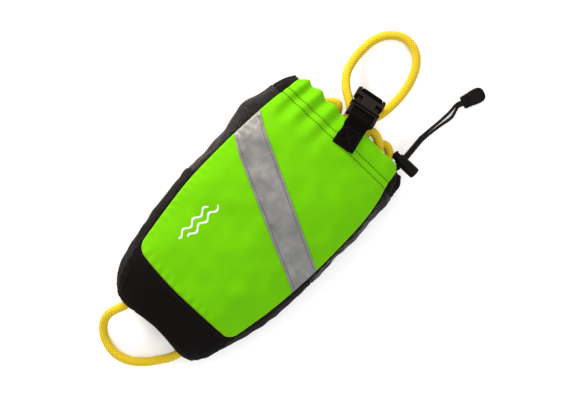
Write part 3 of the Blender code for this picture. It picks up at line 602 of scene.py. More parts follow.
# The tail turns round the standing leg in the mouth, and ends inside on the left.
TAIL = ((-0.0430, 0.1220, 0.0280), (-0.0380, 0.1390, 0.0330), (-0.0310, 0.1510, 0.0370),
        (-0.0225, 0.1565, 0.0385), (-0.0165, 0.1500, 0.0370), (-0.0155, 0.1380, 0.0340),
        (-0.0130, 0.1270, 0.0310))
KNOT_AXIS, KNOT_TURN_R, KNOT_Y = (0.0045, 0.0345), 0.0095, (0.1275, 0.1465)
# The standing part leaves the knot, shows as two bights on the right, and goes down on the flakes.
STANDING = ((0.0050, 0.1400, 0.0345), (0.0048, 0.1280, 0.0345), (0.0062, 0.1185, 0.0352),
            (0.0130, 0.1140, 0.0368), (0.0205, 0.1180, 0.0380), (0.0240, 0.1290, 0.0392),
            (0.0236, 0.1410, 0.0410), (0.0205, 0.1522, 0.0422), (0.0238, 0.1600, 0.0425),
            (0.0322, 0.1594, 0.0430), (0.0418, 0.1528, 0.0425), (0.0495, 0.1425, 0.0390),
            (0.0525, 0.1310, 0.0335), (0.0465, 0.1215, 0.0285), (0.0375, 0.1250, 0.0262),
            (0.0352, 0.1390, 0.0282), (0.0376, 0.1525, 0.0302), (0.0468, 0.1606, 0.0312),
            (0.0565, 0.1548, 0.0308), (0.0592, 0.1400, 0.0300), (0.0565, 0.1250, 0.0320),
            (0.0510, 0.1130, 0.0420), (0.0410, 0.1000, 0.0510), (0.0230, 0.0890, 0.0548))
TO_BASE = ((-0.0470, -0.0935, 0.0100), (-0.0410, -0.1050, 0.0185))
STOPPER = ((0.0380, -0.1280, 0.0260), (0.0380, -0.1170, 0.0262), (0.0410, -0.1110, 0.0300),
           (0.0470, -0.1140, 0.0330))
STOPPER_Y = (-0.1190, -0.1375)

FLAKE_HALF_X, FLAKE_HALF_Y, FLAKE_MIDDLE_Y = 0.0735, 0.1010, 0.0020
FLAKE_CORNER, FLAKE_PITCH, FLAKE_STEP_UP = 0.0670, 0.0098, 0.0095
FLAKE_BOTTOM, FULL_LAYERS, FULL_TURNS, TOP_TURNS = 0.0068, 5, 5.8, 3.38
FLAKE_START = 0.32              # where the top layer begins, as a share of the way round
FLAKE_SPACING = 0.014


def rounded_lap(inset, share):
    """A point of the flakes' outline, moved in by inset; share goes once round from 0 to 1."""
    a, b = FLAKE_HALF_X - inset, FLAKE_HALF_Y - inset
    r = min(max(FLAKE_CORNER - inset, 0.016), a, b)
    straights, arc = (2 * (b - r), 2 * (a - r)), math.pi * r / 2
    at = (share % 1.0) * 2 * (sum(straights) + 2 * arc)
    corners = ((a - r, b - r), (r - a, b - r), (r - a, r - b), (a - r, r - b))
    for k, (cx, cy) in enumerate(corners):
        facing, straight = math.pi / 2 * k, straights[k % 2]
        if at < straight:
            left = straight - at
            return (cx + r * math.cos(facing) + left * math.sin(facing),
                    cy + r * math.sin(facing) - left * math.cos(facing))
        at -= straight
        if at < arc:
            turn = facing + at / r
            return cx + r * math.cos(turn), cy + r * math.sin(turn)
        at -= arc
    return a, r - b


def flakes():
    """The stuffed rope: flat laps wound inwards and outwards by turns, a diameter apart."""
    deepest = FULL_TURNS * FLAKE_PITCH
    top = deepest - TOP_TURNS * FLAKE_PITCH
    points, turn = [], FLAKE_START
    for k in range(FULL_LAYERS + 1):
        turns = FULL_TURNS if k else TOP_TURNS
        start, end = (top if k == 0 else 0.0, deepest) if k % 2 == 0 else (deepest, 0.0)
        z = FLAKE_BOTTOM + FLAKE_STEP_UP * (FULL_LAYERS - k)
        count = round(turns * 0.42 / FLAKE_SPACING)
        for i in range(count):
            share = i / count
            drop = FLAKE_STEP_UP * float(ease((share - 1 + 0.4 / turns) / (0.4 / turns)))
            x, y = rounded_lap(start + (end - start) * share, turn + turns * share)
            height = z - (drop if k < FULL_LAYERS else 0.0)
            room = skin(y + FLAKE_MIDDLE_Y, "right", min(1.0, max(0.0, 1 - height / 0.062)))[0]
            tight = 1 - 0.07 * float(ramp(height, 0.030, 0.052))
            points.append((x * tight * (float(room) - ROPE_R - 0.0025) / 0.0800, y + FLAKE_MIDDLE_Y,
                           height + 0.0005 * math.sin(9.0 * turns * share + k)))
        turn += turns
    return points


def knot_turns(axis, y_range, start, turns):
    """A helix of that many turns about a line along Y."""
    count = max(6, round(abs(turns) * 8))
    points = []
    for k in range(count + 1):
        turn = start + 2 * math.pi * turns * k / count
        points.append((axis[0] + KNOT_TURN_R * math.cos(turn),
                       y_range[0] + (y_range[1] - y_range[0]) * k / count,
                       axis[1] + KNOT_TURN_R * math.sin(turn)))
    return points


def rope_route():
    low, high = KNOT_Y
    wraps = knot_turns(KNOT_AXIS, (low, high), math.pi, 2.0)
    stopper = knot_turns((0.0380, 0.0260), STOPPER_Y, math.radians(40), 1.9)
    first = list(TAIL) + wraps + list(HAND_LOOP[1:]) + list(STANDING)
    last = list(TO_BASE) + list(BASE_LOOP) + list(STOPPER) + stopper
    return first, flakes(), last


ROPE_LENGTH, ROPE_SIDES = 14.0, 30
ROPE_SEEN_Y = (-0.119, 0.113)   # outside these the rope is drawn with every point of its line


def rope():
    first, middle, last = rope_route()
    line = smooth_route(first + middle + last, 0.0007)
    keep = (line[:, 1] < ROPE_SEEN_Y[0]) | (line[:, 1] > ROPE_SEEN_Y[1])
    keep[::12] = True
    line = bag_point(line[keep])
    points, faces, uvs = tube_part(line, ROPE_R, ROPE_SIDES, ROPE_STRANDS, ROPE_PITCH, ROPE_DEPTH)
    obj = finish(mesh_piece("throw_rope", points, faces, uvs), "bag", ROPE)
    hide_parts("rope_hand_loop", "rope_base_loop", "rope_bundle", "hand_loop_knot", "base_loop_knot")


# ---- the drawcord's two tails and what is on them -------------------------------------------------
LOCK_DIR = np.array([0, math.cos(LOCK_SLOPE), -math.sin(LOCK_SLOPE)])
CORD_SHARE, CORD_PARTED = 0.35, 0.17     # where the drawcord leaves the right side, and half its ends' gap
CORD_EXIT = skin(SIDE_MOUTH_Y, "right", CORD_SHARE, DRAWCORD_DEPTH + 0.0003)
LOCK_AT = CORD_EXIT + LOCK_DIR * LOCK_STEP
END_NECK, END_TIP = np.array([0.0780, 0.2532, 0.0040]), np.array([0.0872, 0.2784, 0.0040])


# The two strands lie side by side, part before the pull and meet again in it.
UPPER_BOW = ((0.0736, 0.2090, 0.0066), (0.0756, 0.2225, 0.0028), (0.0766, 0.2370, 0.0022))
LOWER_BOW = ((0.0738, 0.2090, 0.0066), (0.0762, 0.2210, 0.0030), (0.0788, 0.2345, 0.0022))


def strand_route(side):
    """One strand from the channel, through the lock, to the cord end; side is -1 or +1."""
    start = [skin(y, "right", CORD_SHARE + side * dt, DRAWCORD_DEPTH)
             for y, dt in ((DRAWCORD_Y, CORD_PARTED), (0.1422, 0.10), (0.1450, 0.052))]
    off = np.array([STRAND_OFF * side, 0, 0])
    start.append(CORD_EXIT + np.array([0.0, 0, -0.0019]) * side)
    start.append(CORD_EXIT + LOCK_DIR * 0.0030 + np.array([0.0012, 0, -0.0015]) * side)
    straight = [LOCK_AT + LOCK_DIR * s + off
                for s in (-0.0072, -0.003, 0.004, 0.012, 0.020, 0.028, 0.034, 0.036)]
    along = unit(END_TIP - END_NECK)
    across = np.array([along[1], -along[0], 0]) * STRAND_OFF * side
    bow = [np.array(p) + off for p in (UPPER_BOW if side < 0 else LOWER_BOW)]
    last = [END_NECK - along * back for back in (0.0060, 0.0003)]
    return start + straight + bow + [p + across for p in last]


def moulded_cord_end():
    """A flat moulded pull with square shoulders, a rounded tip and two grip ribs."""
    along = unit(END_TIP - END_NECK)
    across, long = np.array([along[1], -along[0], 0.0]), float(np.linalg.norm(END_TIP - END_NECK))
    shape = ((0.0, 0.0044, 0.0020), (0.004, 0.0062, 0.0027), (0.03, 0.0070, 0.0031), (0.10, 0.0073, 0.0033),
             (0.16, 0.0074, 0.0033), (0.18, 0.0071, 0.0029), (0.22, 0.0071, 0.0029), (0.24, 0.0076, 0.0034),
             (0.30, 0.0077, 0.0034), (0.32, 0.0074, 0.0030), (0.36, 0.0074, 0.0030), (0.38, 0.0079, 0.0035),
             (0.55, 0.0084, 0.0036), (0.70, 0.0085, 0.0036), (0.80, 0.0082, 0.0036), (0.88, 0.0073, 0.0034),
             (0.94, 0.0059, 0.0030), (0.98, 0.0040, 0.0022), (1.0, 0.0016, 0.0010))
    sides, turn = 40, 2 * np.pi * np.arange(40) / 40
    cos = np.sign(np.cos(turn)) * np.abs(np.cos(turn)) ** 0.55
    sin = np.sign(np.sin(turn)) * np.abs(np.sin(turn)) ** 0.55
    rings = [END_NECK + along * long * share + (across * half) * cos[:, None]
             + np.array([0, 0, thick]) * sin[:, None] for share, half, thick in shape]
    faces = tube_faces(len(shape), sides)
    obj = mesh_piece("moulded_cord_end", bag_point(np.vstack(rings)), faces)
    smoother = obj.modifiers.new("rounder", "SUBSURF")
    smoother.levels = smoother.render_levels = 1
    finish(obj, "bag", BLACK_PLASTIC)
    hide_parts("cord_end")
    return obj


SPRING_X, SPRING_R, SPRING_WIRE, SPRING_COILS, PRESS_TRAVEL = (0.0084, 0.0174), 0.0030, 0.0004, 5, 0.0040


def lock_spring():
    """The cord lock's coil spring, in one fixed length."""
    low, high = SPRING_X[0] + 2 * SPRING_WIRE, SPRING_X[1] - 2 * SPRING_WIRE
    share = np.linspace(0, 1, SPRING_COILS * 24 + 1)
    turn = 2 * np.pi * SPRING_COILS * share
    up = np.array([0, math.sin(LOCK_SLOPE), math.cos(LOCK_SLOPE)])
    line = (LOCK_AT + np.outer(low + (high - low) * share, (1, 0, 0))
            + SPRING_R * (np.outer(np.cos(turn), LOCK_DIR) + np.outer(np.sin(turn), up)))
    points, faces, uvs = tube_part(bag_point(line), SPRING_WIRE, 12, 1, 1, 0)
    obj = finish(mesh_piece("coil_spring", points, faces, uvs), "cord_lock", STEEL)
    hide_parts("cord_lock_spring")
    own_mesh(obj)


def drawcord_tails():
    pull = moulded_cord_end()
    for name, side in (("drawcord_tail_upper", -1), ("drawcord_tail_lower", 1)):
        line = bag_point(smooth_route(strand_route(side), 0.0005))
        points, faces, uvs = tube_part(line, CORD_LOOK_R, 18, CORD_STRANDS, CORD_PITCH, CORD_DEPTH)
        obj = finish(mesh_piece(f"braided_{name}", points, faces, uvs), "bag", CORD)
        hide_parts(name)


# ---- the filled fabric shell ----------------------------------------------------------------------
ROLL, ROLL_REACH = 0.0013, 0.0024      # each panel dives this far at a seam, over this reach
SHOULDER, SHOULDER_REACH = 0.0050, 0.034        # the filled front falls away this much towards its sides
FULLER_LEFT = ((-0.147, 0.0012), (-0.10, 0.0026), (-0.05, 0.0048), (-0.01, 0.0060), (0.03, 0.0050),
               (0.06, 0.0042), (0.10, 0.0036), (0.125, 0.0036), (0.152, 0.0030))
FULLER_RIGHT = ((-0.147, -0.0010), (-0.10, -0.0026), (-0.08, -0.0012), (-0.055, 0.0010), (-0.03, 0.0022),
                (0.0, 0.0032), (0.05, 0.0042), (0.088, 0.0054), (0.112, 0.0048), (0.130, 0.0030),
                (0.152, 0.0042))
# Where the filled gussets swell and dent along the bag: (height, middle, reach)
LEFT_HILLS = ((0.0030, 0.100, 0.040), (-0.0062, 0.055, 0.045), (0.0026, -0.004, 0.012),
              (0.0016, -0.030, 0.030), (0.0016, -0.128, 0.020), (-0.0044, 0.024, 0.020),
              (0.0030, 0.073, 0.020), (-0.0030, 0.106, 0.018), (0.0024, 0.131, 0.018),
              (0.0014, -0.016, 0.016), (-0.0017, -0.094, 0.018))
RIGHT_HILLS = ((0.0060, 0.121, 0.034), (-0.0056, 0.044, 0.050), (-0.0050, -0.102, 0.060),
               (-0.0018, -0.008, 0.022), (-0.0040, 0.084, 0.032))
CORNER_HILLS = ((0.0084, 0.141, 0.022), (-0.0022, 0.107, 0.014))     # only low on the right gusset
LIP_R, LIP_RETURN = 0.0023, 0.0045
FRONT_LIP_Y, SIDE_LIP_Y, BASE_REACH = 0.1524, 0.1478, 0.0034
FRONT_PUCKERS, PUCKERS = 0.0092, 0.0105        # how far apart the puckers are: front sides, other seams
CROWDED = 0.92                  # how far the front's columns crowd towards its two sides
GUSSET_DEPTH, GUSSET_FLAT = 0.064, 0.06
HEM_ROWS = (0.1326, 0.1253)
# Puckers of the drawn front edge: (share of the half width, height)
FLUTES = ((-1.00, -0.0024), (-0.89, 0.0004), (-0.77, -0.0042), (-0.64, 0.0007), (-0.49, -0.0046),
          (-0.34, 0.0006), (-0.20, -0.0032), (-0.06, 0.0), (0.35, 0.0), (0.62, -0.0009), (0.85, 0.0003),
          (1.00, -0.0008))
SIDE_FLUTES = ((0.0, -0.0006), (0.16, 0.0006), (0.32, -0.0024), (0.48, 0.0008), (0.64, -0.0026),
               (0.82, 0.0006), (1.0, -0.0006))
STITCH, STITCH_GAP = 0.0029, 0.0006


def half_width(y, sign):
    """Half the front's width, to the side of that sign; filled, the front laps over its gussets."""
    return smooth(HALF_WIDTH, y) + smooth(FULLER_LEFT, y) * np.clip(-sign, 0, 1) \
        + smooth(FULLER_RIGHT, y) * np.clip(sign, 0, 1)


def base_y(u):
    """Where the front band ends at the base, drawn in between the two rope holes."""
    return BASE_Y + 0.0018 * hill(u, 0.0, 0.62)


def dive(distance, depth=ROLL, reach=ROLL_REACH):
    """How deep a panel's rounded edge is, at that distance from its seam."""
    s = np.clip(1 - distance / reach, 0.0, 1.0)
    return depth * (1 - np.sqrt(1 - s**2))


def seam_y(u):
    """Where the green panel meets the black band; u goes from -1 on the left to 1 on the right."""
    e = np.clip((np.abs(u) - 0.86) / 0.14, 0.0, 1.0)
    return -0.1025 + 0.006 * np.maximum(0.0, -u) ** 2 + 0.010 * (1 - np.sqrt(1 - e**2))


def front_edge(u):
    """Where the mouth's front edge is, along the bag."""
    corner = 0.0040 * ramp(-u, 0.88, 1.0) + 0.0040 * ramp(u, 0.93, 1.0)
    return FRONT_LIP_Y - LIP_R + 0.0016 * hill(u, -0.72, 0.5) + 0.75 * smooth(FLUTES, u) - corner


def side_edge(d):
    return SIDE_LIP_Y - LIP_R + 0.4 * smooth(SIDE_FLUTES, d) - 0.0006 * (1 - hill(d, 0.5, 0.5))


def hem_row(u, k):
    return HEM_ROWS[k] + 0.12 * smooth(FLUTES, u)


def front(u, y, bare=False):
    """Points of the front, as it stands filled and drawn shut: u from -1 to 1 across."""
    u, y = np.broadcast_arrays(np.asarray(u, float), np.asarray(y, float))
    width = half_width(y, np.sign(u))
    side = (1 - np.abs(u)) * width
    x = u * (width - ROLL)
    z = smooth(FRONT_HEIGHT, y) + smooth(CROWN, y) * (1 - u**2) - dive(side)
    z = z - SHOULDER * np.clip(1 - side / SHOULDER_REACH, 0, 1) ** 2
    if bare:
        return np.stack([x, y, z], -1)
    under_strap = hill(x, 0.010, 0.026) * ramp(y, 0.112, 0.124)
    calm = (1 - 0.75 * ramp(np.abs(u), 0.80, 1.0)) * (1 - 0.85 * under_strap)
    z = z + (0.0010 * noise(x, y, 0.038, 11) + 0.00035 * noise(x, y, 0.015, 12, 14)) * calm
    z = z + smooth(FLUTES, u) * ramp(y, 0.086, 0.146)
    z = z - 0.0016 * hill(x, -0.057, 0.012) * hill(y, 0.113, 0.013)
    z = z - 0.0010 * hill(x, 0.056, 0.012) * hill(y, 0.116, 0.012)
    # small puckers run in from the side seams, and the seam of the tape pulls too
    gather = 0.00042 * np.sin(2 * np.pi * y / FRONT_PUCKERS + 1.8 * noise(x, y, 0.03, 13, 5))
    z = z + gather * (1 - ease(side / 0.013)) * ramp(side, 0.0, 0.002)
    from_seam = np.abs(y - seam_y(u))
    z = z - dive(from_seam, 0.0010, 0.0030)
    pull = 0.0004 * np.sin(2 * np.pi * x / PUCKERS + 1.5 * noise(x, y, 0.03, 14, 5))
    pull = pull * (1 - ease(from_seam / 0.014)) * np.where(y > seam_y(u), 1.0, 0.7)
    z = z + pull * ramp(side, 0.0, 0.01)
    for k in range(2):
        z = z - 0.00055 * np.exp(-((y - hem_row(u, k)) / 0.0011) ** 2)
    z = z + 0.0011 * np.sin(np.pi * np.clip((y - hem_row(u, 0)) / 0.0190, 0, 1))
    z = z + 0.0004 * np.sin(np.pi * np.clip((y - hem_row(u, 1)) / 0.0073, 0, 1))
    z = z - dive(y - base_y(u), ROLL, BASE_REACH)
    return np.stack([x, y, z], -1)


def gusset(side, d, y):
    """Points of a gusset; d goes from 0 at the front seam to 1 at the back seam."""
    d, y = np.broadcast_arrays(np.asarray(d, float), np.asarray(y, float))
    sign = 1.0 if side == "right" else -1.0
    width = half_width(y, sign)
    high = smooth(FRONT_HEIGHT, y) - ROLL - SHOULDER
    low = back_height(y) + BACK_EDGE_LIFT + ROLL
    seam = np.minimum(d, 1 - d) * (high - low)
    swell = smooth(BULGE, y) * np.sin(np.pi * d)
    if side == "left":
        more = hills(LEFT_HILLS, y)
    else:
        more = hills(RIGHT_HILLS, y) + hills(CORNER_HILLS, y) * hill(d, 0.64, 0.46)
    fuller = width - smooth(HALF_WIDTH, y)
    swell = swell + (more - fuller) * np.sin(np.pi * d) - fuller * ramp(d, 0.5, 1.0)
    x = width + swell - dive(seam)
    calm = ramp(seam, 0.0, 0.012)
    seed = 21 if side == "right" else 31
    across = d * GUSSET_FLAT
    x = x + (0.0013 * noise(y, across, 0.030, seed) + 0.0004 * noise(y, across, 0.012, seed + 1, 12)) * calm
    x = x + smooth(SIDE_FLUTES, d) * ramp(y, 0.095, 0.145)
    gather = 0.0006 * np.sin(2 * np.pi * y / PUCKERS + 1.8 * noise(y, across, 0.03, seed + 2, 5))
    x = x + gather * (1 - ease(seam / 0.014)) * ramp(seam, 0.0, 0.002)
    for seam_at in (MESH_SEAM_Y, HEM_SEAM_Y):
        x = x - dive(np.abs(y - seam_at), 0.0009, 0.0026)
    x = x + 0.0010 * np.sin(np.pi * np.clip((y - 0.131) / 0.018, 0, 1)) * calm
    x = x - dive(y - BASE_Y, ROLL, BASE_REACH)
    return np.stack([sign * x, y, high + (low - high) * d], -1)


def back(u, y):
    """Points of the back panel, which lies on the ground; u from -1 to 1."""
    u, y = np.broadcast_arrays(np.asarray(u, float), np.asarray(y, float))
    width = smooth(HALF_WIDTH, y)
    side = (1 - np.abs(u)) * width
    x = u * (width - ROLL)
    edge = np.maximum(0.0, (np.abs(u) - BACK_FLAT_SHARE) / (1 - BACK_FLAT_SHARE))
    z = back_height(y) + BACK_EDGE_LIFT * edge**2 + dive(side)
    lumps = 0.5 + 0.5 * np.clip(noise(x, y, 0.030, 41), -1.6, 1.6) / 1.6
    z = z + (0.0014 * lumps + 0.0003 * (1 + noise(x, y, 0.012, 42, 12) / 3)) * ramp(side, 0.0, 0.012)
    gather = 0.0005 * (1 + np.sin(2 * np.pi * y / PUCKERS + noise(x, y, 0.03, 43, 5)))
    z = z + gather * (1 - ease(side / 0.014))
    z = z + dive(y - BASE_Y, ROLL, BASE_REACH)
    return np.stack([x, y, np.maximum(z, 0.0)], -1)


def back_edge(u):
    return SIDE_LIP_Y - LIP_R + 0.0012 * np.sin(5 * u + 1.0)


SHELL_MIDDLE = np.array([0.0, 0.0, 0.030])


def inward(kind, share):
    """The direction into the bag at its mouth; the corners point between their two panels."""
    share = np.asarray(share, float)
    if kind in ("front", "back"):
        lean = np.sign(share) * ramp(np.abs(share), 0.84, 1.0)
        down = np.full_like(share, -1.0 if kind == "front" else 1.0)
        return unit(np.stack([-lean, 0 * share, down], -1))
    sign = -1.0 if kind == "right" else 1.0
    lean = ramp(0.5 - share, 0.34, 0.5) * -1.0 + ramp(share - 0.5, 0.34, 0.5)
    return unit(np.stack([np.full_like(share, sign), 0 * share, lean], -1))


def with_lip(grid, into):
    """The grid's last row rolled over inwards, and a short return inside."""
    edge = grid[-1]
    rows = [grid]
    for turn in np.linspace(0, math.pi, 9)[1:]:
        rolled = edge + into * LIP_R * (1 - math.cos(turn))
        rows.append((rolled + np.array([0, LIP_R * math.sin(turn), 0]))[None])
    for back_by in (0.0015, 0.0030, LIP_RETURN):
        rows.append((edge + into * LIP_R * 2 - np.array([0, back_by, 0]))[None])
    return np.concatenate(rows)


def outward(grid):
    """The grid with its columns in the order that makes its faces look away from the bag's middle."""
    a, b = grid[:, 1:] - grid[:, :-1], grid[1:] - grid[:-1]
    normal = np.cross(a[:-1], b[:, :-1]).reshape(-1, 3).mean(axis=0)
    middle = grid.reshape(-1, 3).mean(axis=0)
    away = middle - np.array([0, middle[1], SHELL_MIDDLE[2]])
    return grid if normal @ away > 0 else grid[:, ::-1]


def even(low, high, step):
    return np.linspace(low, high, max(3, round((high - low) / step) + 1))


def strip_grid(surface, shares, low, high, rows):
    """Points of surface(share, y) with y from low(share) to high(share)."""
    v = np.linspace(0, 1, rows)[:, None]
    share = np.broadcast_to(shares[None, :], (rows, len(shares)))
    y = low + (high - low) * v
    return surface(share, np.broadcast_to(y, share.shape))


def surface_of(kind):
    """The points of that side of the bag, as a function of (share, y)."""
    return {"front": front, "back": back}.get(kind) or (lambda share, y: gusset(kind, share, y))


FRONT_COLUMNS, GUSSET_COLUMNS, TAPE_COLUMNS, TAPE_ROWS = 151, 61, 221, 61


def panels():
    u = np.sin(np.linspace(-1, 1, FRONT_COLUMNS) * math.pi / 2 * CROWDED) / math.sin(math.pi / 2 * CROWDED)
    grid = with_lip(strip_grid(front, u, seam_y(u), front_edge(u), 230), inward("front", u))
    cloth_piece("green_front_panel", grid, GREEN, "front_panel")
    grid = strip_grid(front, u, base_y(u), seam_y(u), 56)
    cloth_piece("black_front_band", grid, BLACK, "front_lower_band")
    grid = with_lip(strip_grid(back, u, BASE_Y, back_edge(u), 200), inward("back", u))
    cloth_piece("black_back_panel", grid, BLACK, "back_panel")
    d = ((1 - np.cos(np.linspace(0, math.pi, GUSSET_COLUMNS))) / 2 * 0.5
         + np.linspace(0, 1, GUSSET_COLUMNS) * 0.5)
    for side in ("left", "right"):
        surface = surface_of(side)
        grid = strip_grid(surface, d, BASE_Y, MESH_SEAM_Y, 110)
        cloth_piece(f"{side}_side_panel", grid, BLACK, f"{side}_gusset_lower")
        grid = with_lip(strip_grid(surface, d, HEM_SEAM_Y, side_edge(d), 24), inward(side, d))
        cloth_piece(f"{side}_side_hem", grid, BLACK, f"{side}_gusset_hem")
        net(side)


NET_PITCH, NET_HOLE, NET_THICK = 0.0030, 0.00078, 0.00060
HALF_CELL = ((0, 0), (0.5, 0), (0.5, 0.5), (0.5, 1), (0, 1), (0, 0.5))


def net(side):
    """Knitted mesh with real openings: each cell is a square of yarn with an eight-sided hole."""
    rows = round((HEM_SEAM_Y - MESH_SEAM_Y) / (NET_PITCH * 0.87))
    columns = round(GUSSET_DEPTH / NET_PITCH)
    rim = [(1, 0), (1, 1), (0, 1), (-1, 1), (-1, 0), (-1, -1), (0, -1), (1, -1)]
    corner, index = [], {}
    faces = []

    def vertex(a, b):
        key = (round(a * 64), round(b * 64))
        if key not in index:
            index[key] = len(corner)
            corner.append((a, b))
        return index[key]

    for j in range(rows):
        shift = 0.5 if j % 2 else 0.0
        edge = 0.0 if shift else float(columns)        # half a cell of plain yarn closes each row
        faces.append([vertex(edge + da, j + db) for da, db in HALF_CELL])
        for i in range(columns):
            a0, b0 = i + 0.5 + shift, j + 0.5
            ring = [vertex(a0 + 0.5 * dx, b0 + 0.5 * dy) for dx, dy in rim]
            size = NET_HOLE / NET_PITCH
            hole = [vertex(a0 + size * math.cos(t) * 1.12, b0 + size * math.sin(t)) for t in
                    (math.pi / 4 * k for k in range(8))]
            for k in range(8):
                faces.append((ring[k], ring[(k + 1) % 8], hole[(k + 1) % 8], hole[k]))
    a, b = np.array(corner).T
    share = np.clip(a / (columns + 0.5), 0, 1)
    y = MESH_SEAM_Y + (HEM_SEAM_Y - MESH_SEAM_Y) * b / rows
    points = gusset(side, share, y)
    points[:, 0] *= 1 + 0.0004 / np.abs(points[:, 0])
    uv = np.stack([share * GUSSET_DEPTH, y], -1)
    if side == "left":
        faces = [f[::-1] for f in faces]
    uvs = uv[np.concatenate([np.asarray(f) for f in faces])]
    obj = mesh_piece(f"{side}_side_net", bag_point(points), faces, uvs)
    thicken(obj, "yarn", NET_THICK)
    finish(obj, "bag", NET)
    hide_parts(f"{side}_gusset_mesh")


def facing():
    """The channel's inner strip: a closed band just inside all four sides of the mouth."""
    rows = even(0.1225, 0.1440, 0.0018)
    around = []
    for kind, shares in (("front", np.linspace(-1, 1, 61)[:-1]), ("right", np.linspace(0, 1, 31)[:-1]),
                         ("back", np.linspace(1, -1, 61)[:-1]), ("left", np.linspace(1, 0, 31)[:-1])):
        grid = strip_grid(surface_of(kind), shares, rows[0], rows[-1], len(rows))
        around.append(grid + inward(kind, shares)[None] * (2 * LIP_R + 0.0004))
    grid = np.concatenate(around, axis=1)
    n = grid.shape[1]
    wrapped = np.concatenate([grid, grid[:, :1]], axis=1)
    across, along = lengths_of(wrapped)
    obj = mesh_piece("mouth_facing", bag_point(grid.reshape(-1, 3)), grid_faces(len(rows), n, around=True),
                     grid_uvs(across, along))
    thicken(obj, "thickness", FACING_THICK)
    finish(obj, "bag", BLACK)
    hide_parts("drawcord_channel")


ROPE_HOLE, ROPE_HOLE_R = (0.038, 0.026), 0.0084


def base_end():
    """The end panel between the four sides, with its two rope holes, puffed out round them."""
    a, b = np.linspace(-1, 1, 121), np.linspace(0, 1, 61)
    top, bottom = front(a, base_y(a)), back(a, BASE_Y)
    grid = bottom[None] + (top - bottom)[None] * b[:, None, None]
    for name, sign in (("left", -1.0), ("right", 1.0)):
        out = sign * (gusset(name, 1 - b, BASE_Y)[:, 0] - gusset(name, np.array([0.0]), BASE_Y)[0, 0])
        grid[..., 0] += out[:, None] * sign * np.clip(sign * a, 0, 1)[None, :] ** 3
    edge = np.minimum((1 - np.abs(a))[None, :] * 0.052, np.minimum(b, 1 - b)[:, None] * 0.044)
    puff = 0.0024 * np.sqrt(np.clip(1 - (1 - np.clip(edge / 0.0060, 0, 1)) ** 2, 0, 1))
    x, z = grid[..., 0], grid[..., 2]
    dent = hill(x, 0.0, 0.026) * (0.4 + 0.6 * hill(z, 0.032, 0.030))
    grid[..., 1] += 0.0002 - puff + 0.0026 * dent * ramp(edge, 0.0, 0.006) \
        + 0.0003 * noise(x, z, 0.010, 51) * ramp(edge, 0.0, 0.006)
    rows, columns = grid.shape[:2]
    faces = grid_faces(rows, columns)
    uvs = grid_uvs(*lengths_of(grid)).reshape(-1, 4, 2)
    middle = grid.reshape(-1, 3)[faces].mean(axis=1)
    hole_x, hole_z = ROPE_HOLE
    away = [np.hypot(middle[:, 0] - s * hole_x, middle[:, 2] - hole_z) for s in (-1, 1)]
    keep = np.minimum(*away) > ROPE_HOLE_R
    obj = mesh_piece("black_base_panel", bag_point(grid.reshape(-1, 3)), faces[keep],
                     uvs[keep].reshape(-1, 2))
    bm = bmesh.new()
    bm.from_mesh(obj.data)
    bmesh.ops.delete(bm, geom=[v for v in bm.verts if not v.link_faces], context="VERTS")
    bmesh.ops.recalc_face_normals(bm, faces=bm.faces)
    if sum(f.normal.y for f in bm.faces) > 0:
        bmesh.ops.reverse_faces(bm, faces=bm.faces)
    bm.to_mesh(obj.data)
    bm.free()
    thicken(obj, "thickness", BASE_THICK)
    finish(obj, "bag", BLACK)
    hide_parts("base_panel")


FOAM_U, FOAM_Y, FOAM_HALF, FOAM_DOWN = 0.88, (-0.118, 0.108), 0.0022, 0.0048


def foam():
    """A thin pad behind the front, with rounded edges."""
    low, high = FOAM_Y
    u = np.linspace(-FOAM_U, FOAM_U, 61)
    grid = strip_grid(lambda s, y: front(s, y, bare=True), u, low, high, 90)
    y = grid[..., 1]
    edge = np.minimum((FOAM_U - np.abs(u))[None, :] * 0.075, np.minimum(y - low, high - y))
    half = FOAM_HALF * np.sqrt(np.clip(1 - (1 - np.clip(edge / FOAM_HALF, 0, 1)) ** 2, 0, 1)) + 0.0001
    middle = grid - np.array([0, 0, FOAM_DOWN])
    upper, lower = middle.copy(), middle.copy()
    upper[..., 2] += half
    lower[..., 2] -= half
    rows, columns = grid.shape[:2]
    faces = list(map(tuple, grid_faces(rows, columns)))
    faces += [tuple(f[::-1]) for f in grid_faces(rows, columns, offset=rows * columns)]
    ring = ([(0, i) for i in range(columns - 1)] + [(j, columns - 1) for j in range(rows - 1)]
            + [(rows - 1, i) for i in range(columns - 1, 0, -1)] + [(j, 0) for j in range(rows - 1, 0, -1)])
    flat = [j * columns + i for j, i in ring]
    shift = rows * columns
    faces += [(b, a, a + shift, b + shift) for a, b in zip(flat, flat[1:] + flat[:1])]
    points = np.vstack([upper.reshape(-1, 3), lower.reshape(-1, 3)])
    obj = finish(mesh_piece("foam_pad", bag_point(points), faces), "bag", FOAM)
    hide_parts("front_foam")


# ---- tape and stitching ---------------------------------------------------------------------------
def tape_point(u, v):
    """A point of the tape on the front: v goes from 0 at its lower edge to 1 at its upper edge."""
    x = TAPE_HALF_X * u
    y = TAPE_MID_Y + TAPE_SLOPE * x + TAPE_HALF * (2 * v - 1) + 0.0004 * np.sin(47 * x + 3 * v)
    y = y + 0.0026 * ramp(-x, 0.058, 0.080) + 0.0028 * (1 - v) * ramp(x, 0.022, 0.070)
    p = front(u, y)
    lower = ramp(0.5 - v, 0.10, 0.42) * hill(x, 0.016, 0.050)
    crease = (0.00040 * noise(x, y, 0.0050, 61, 14) * (0.30 + 1.3 * lower)
              + 0.00050 * noise(x, y, 0.015, 62, 12))
    hold = ramp(np.minimum(v, 1 - v), 0.02, 0.16)
    p[..., 2] += 0.00080 + np.maximum(crease * hold, -0.00030)
    return p


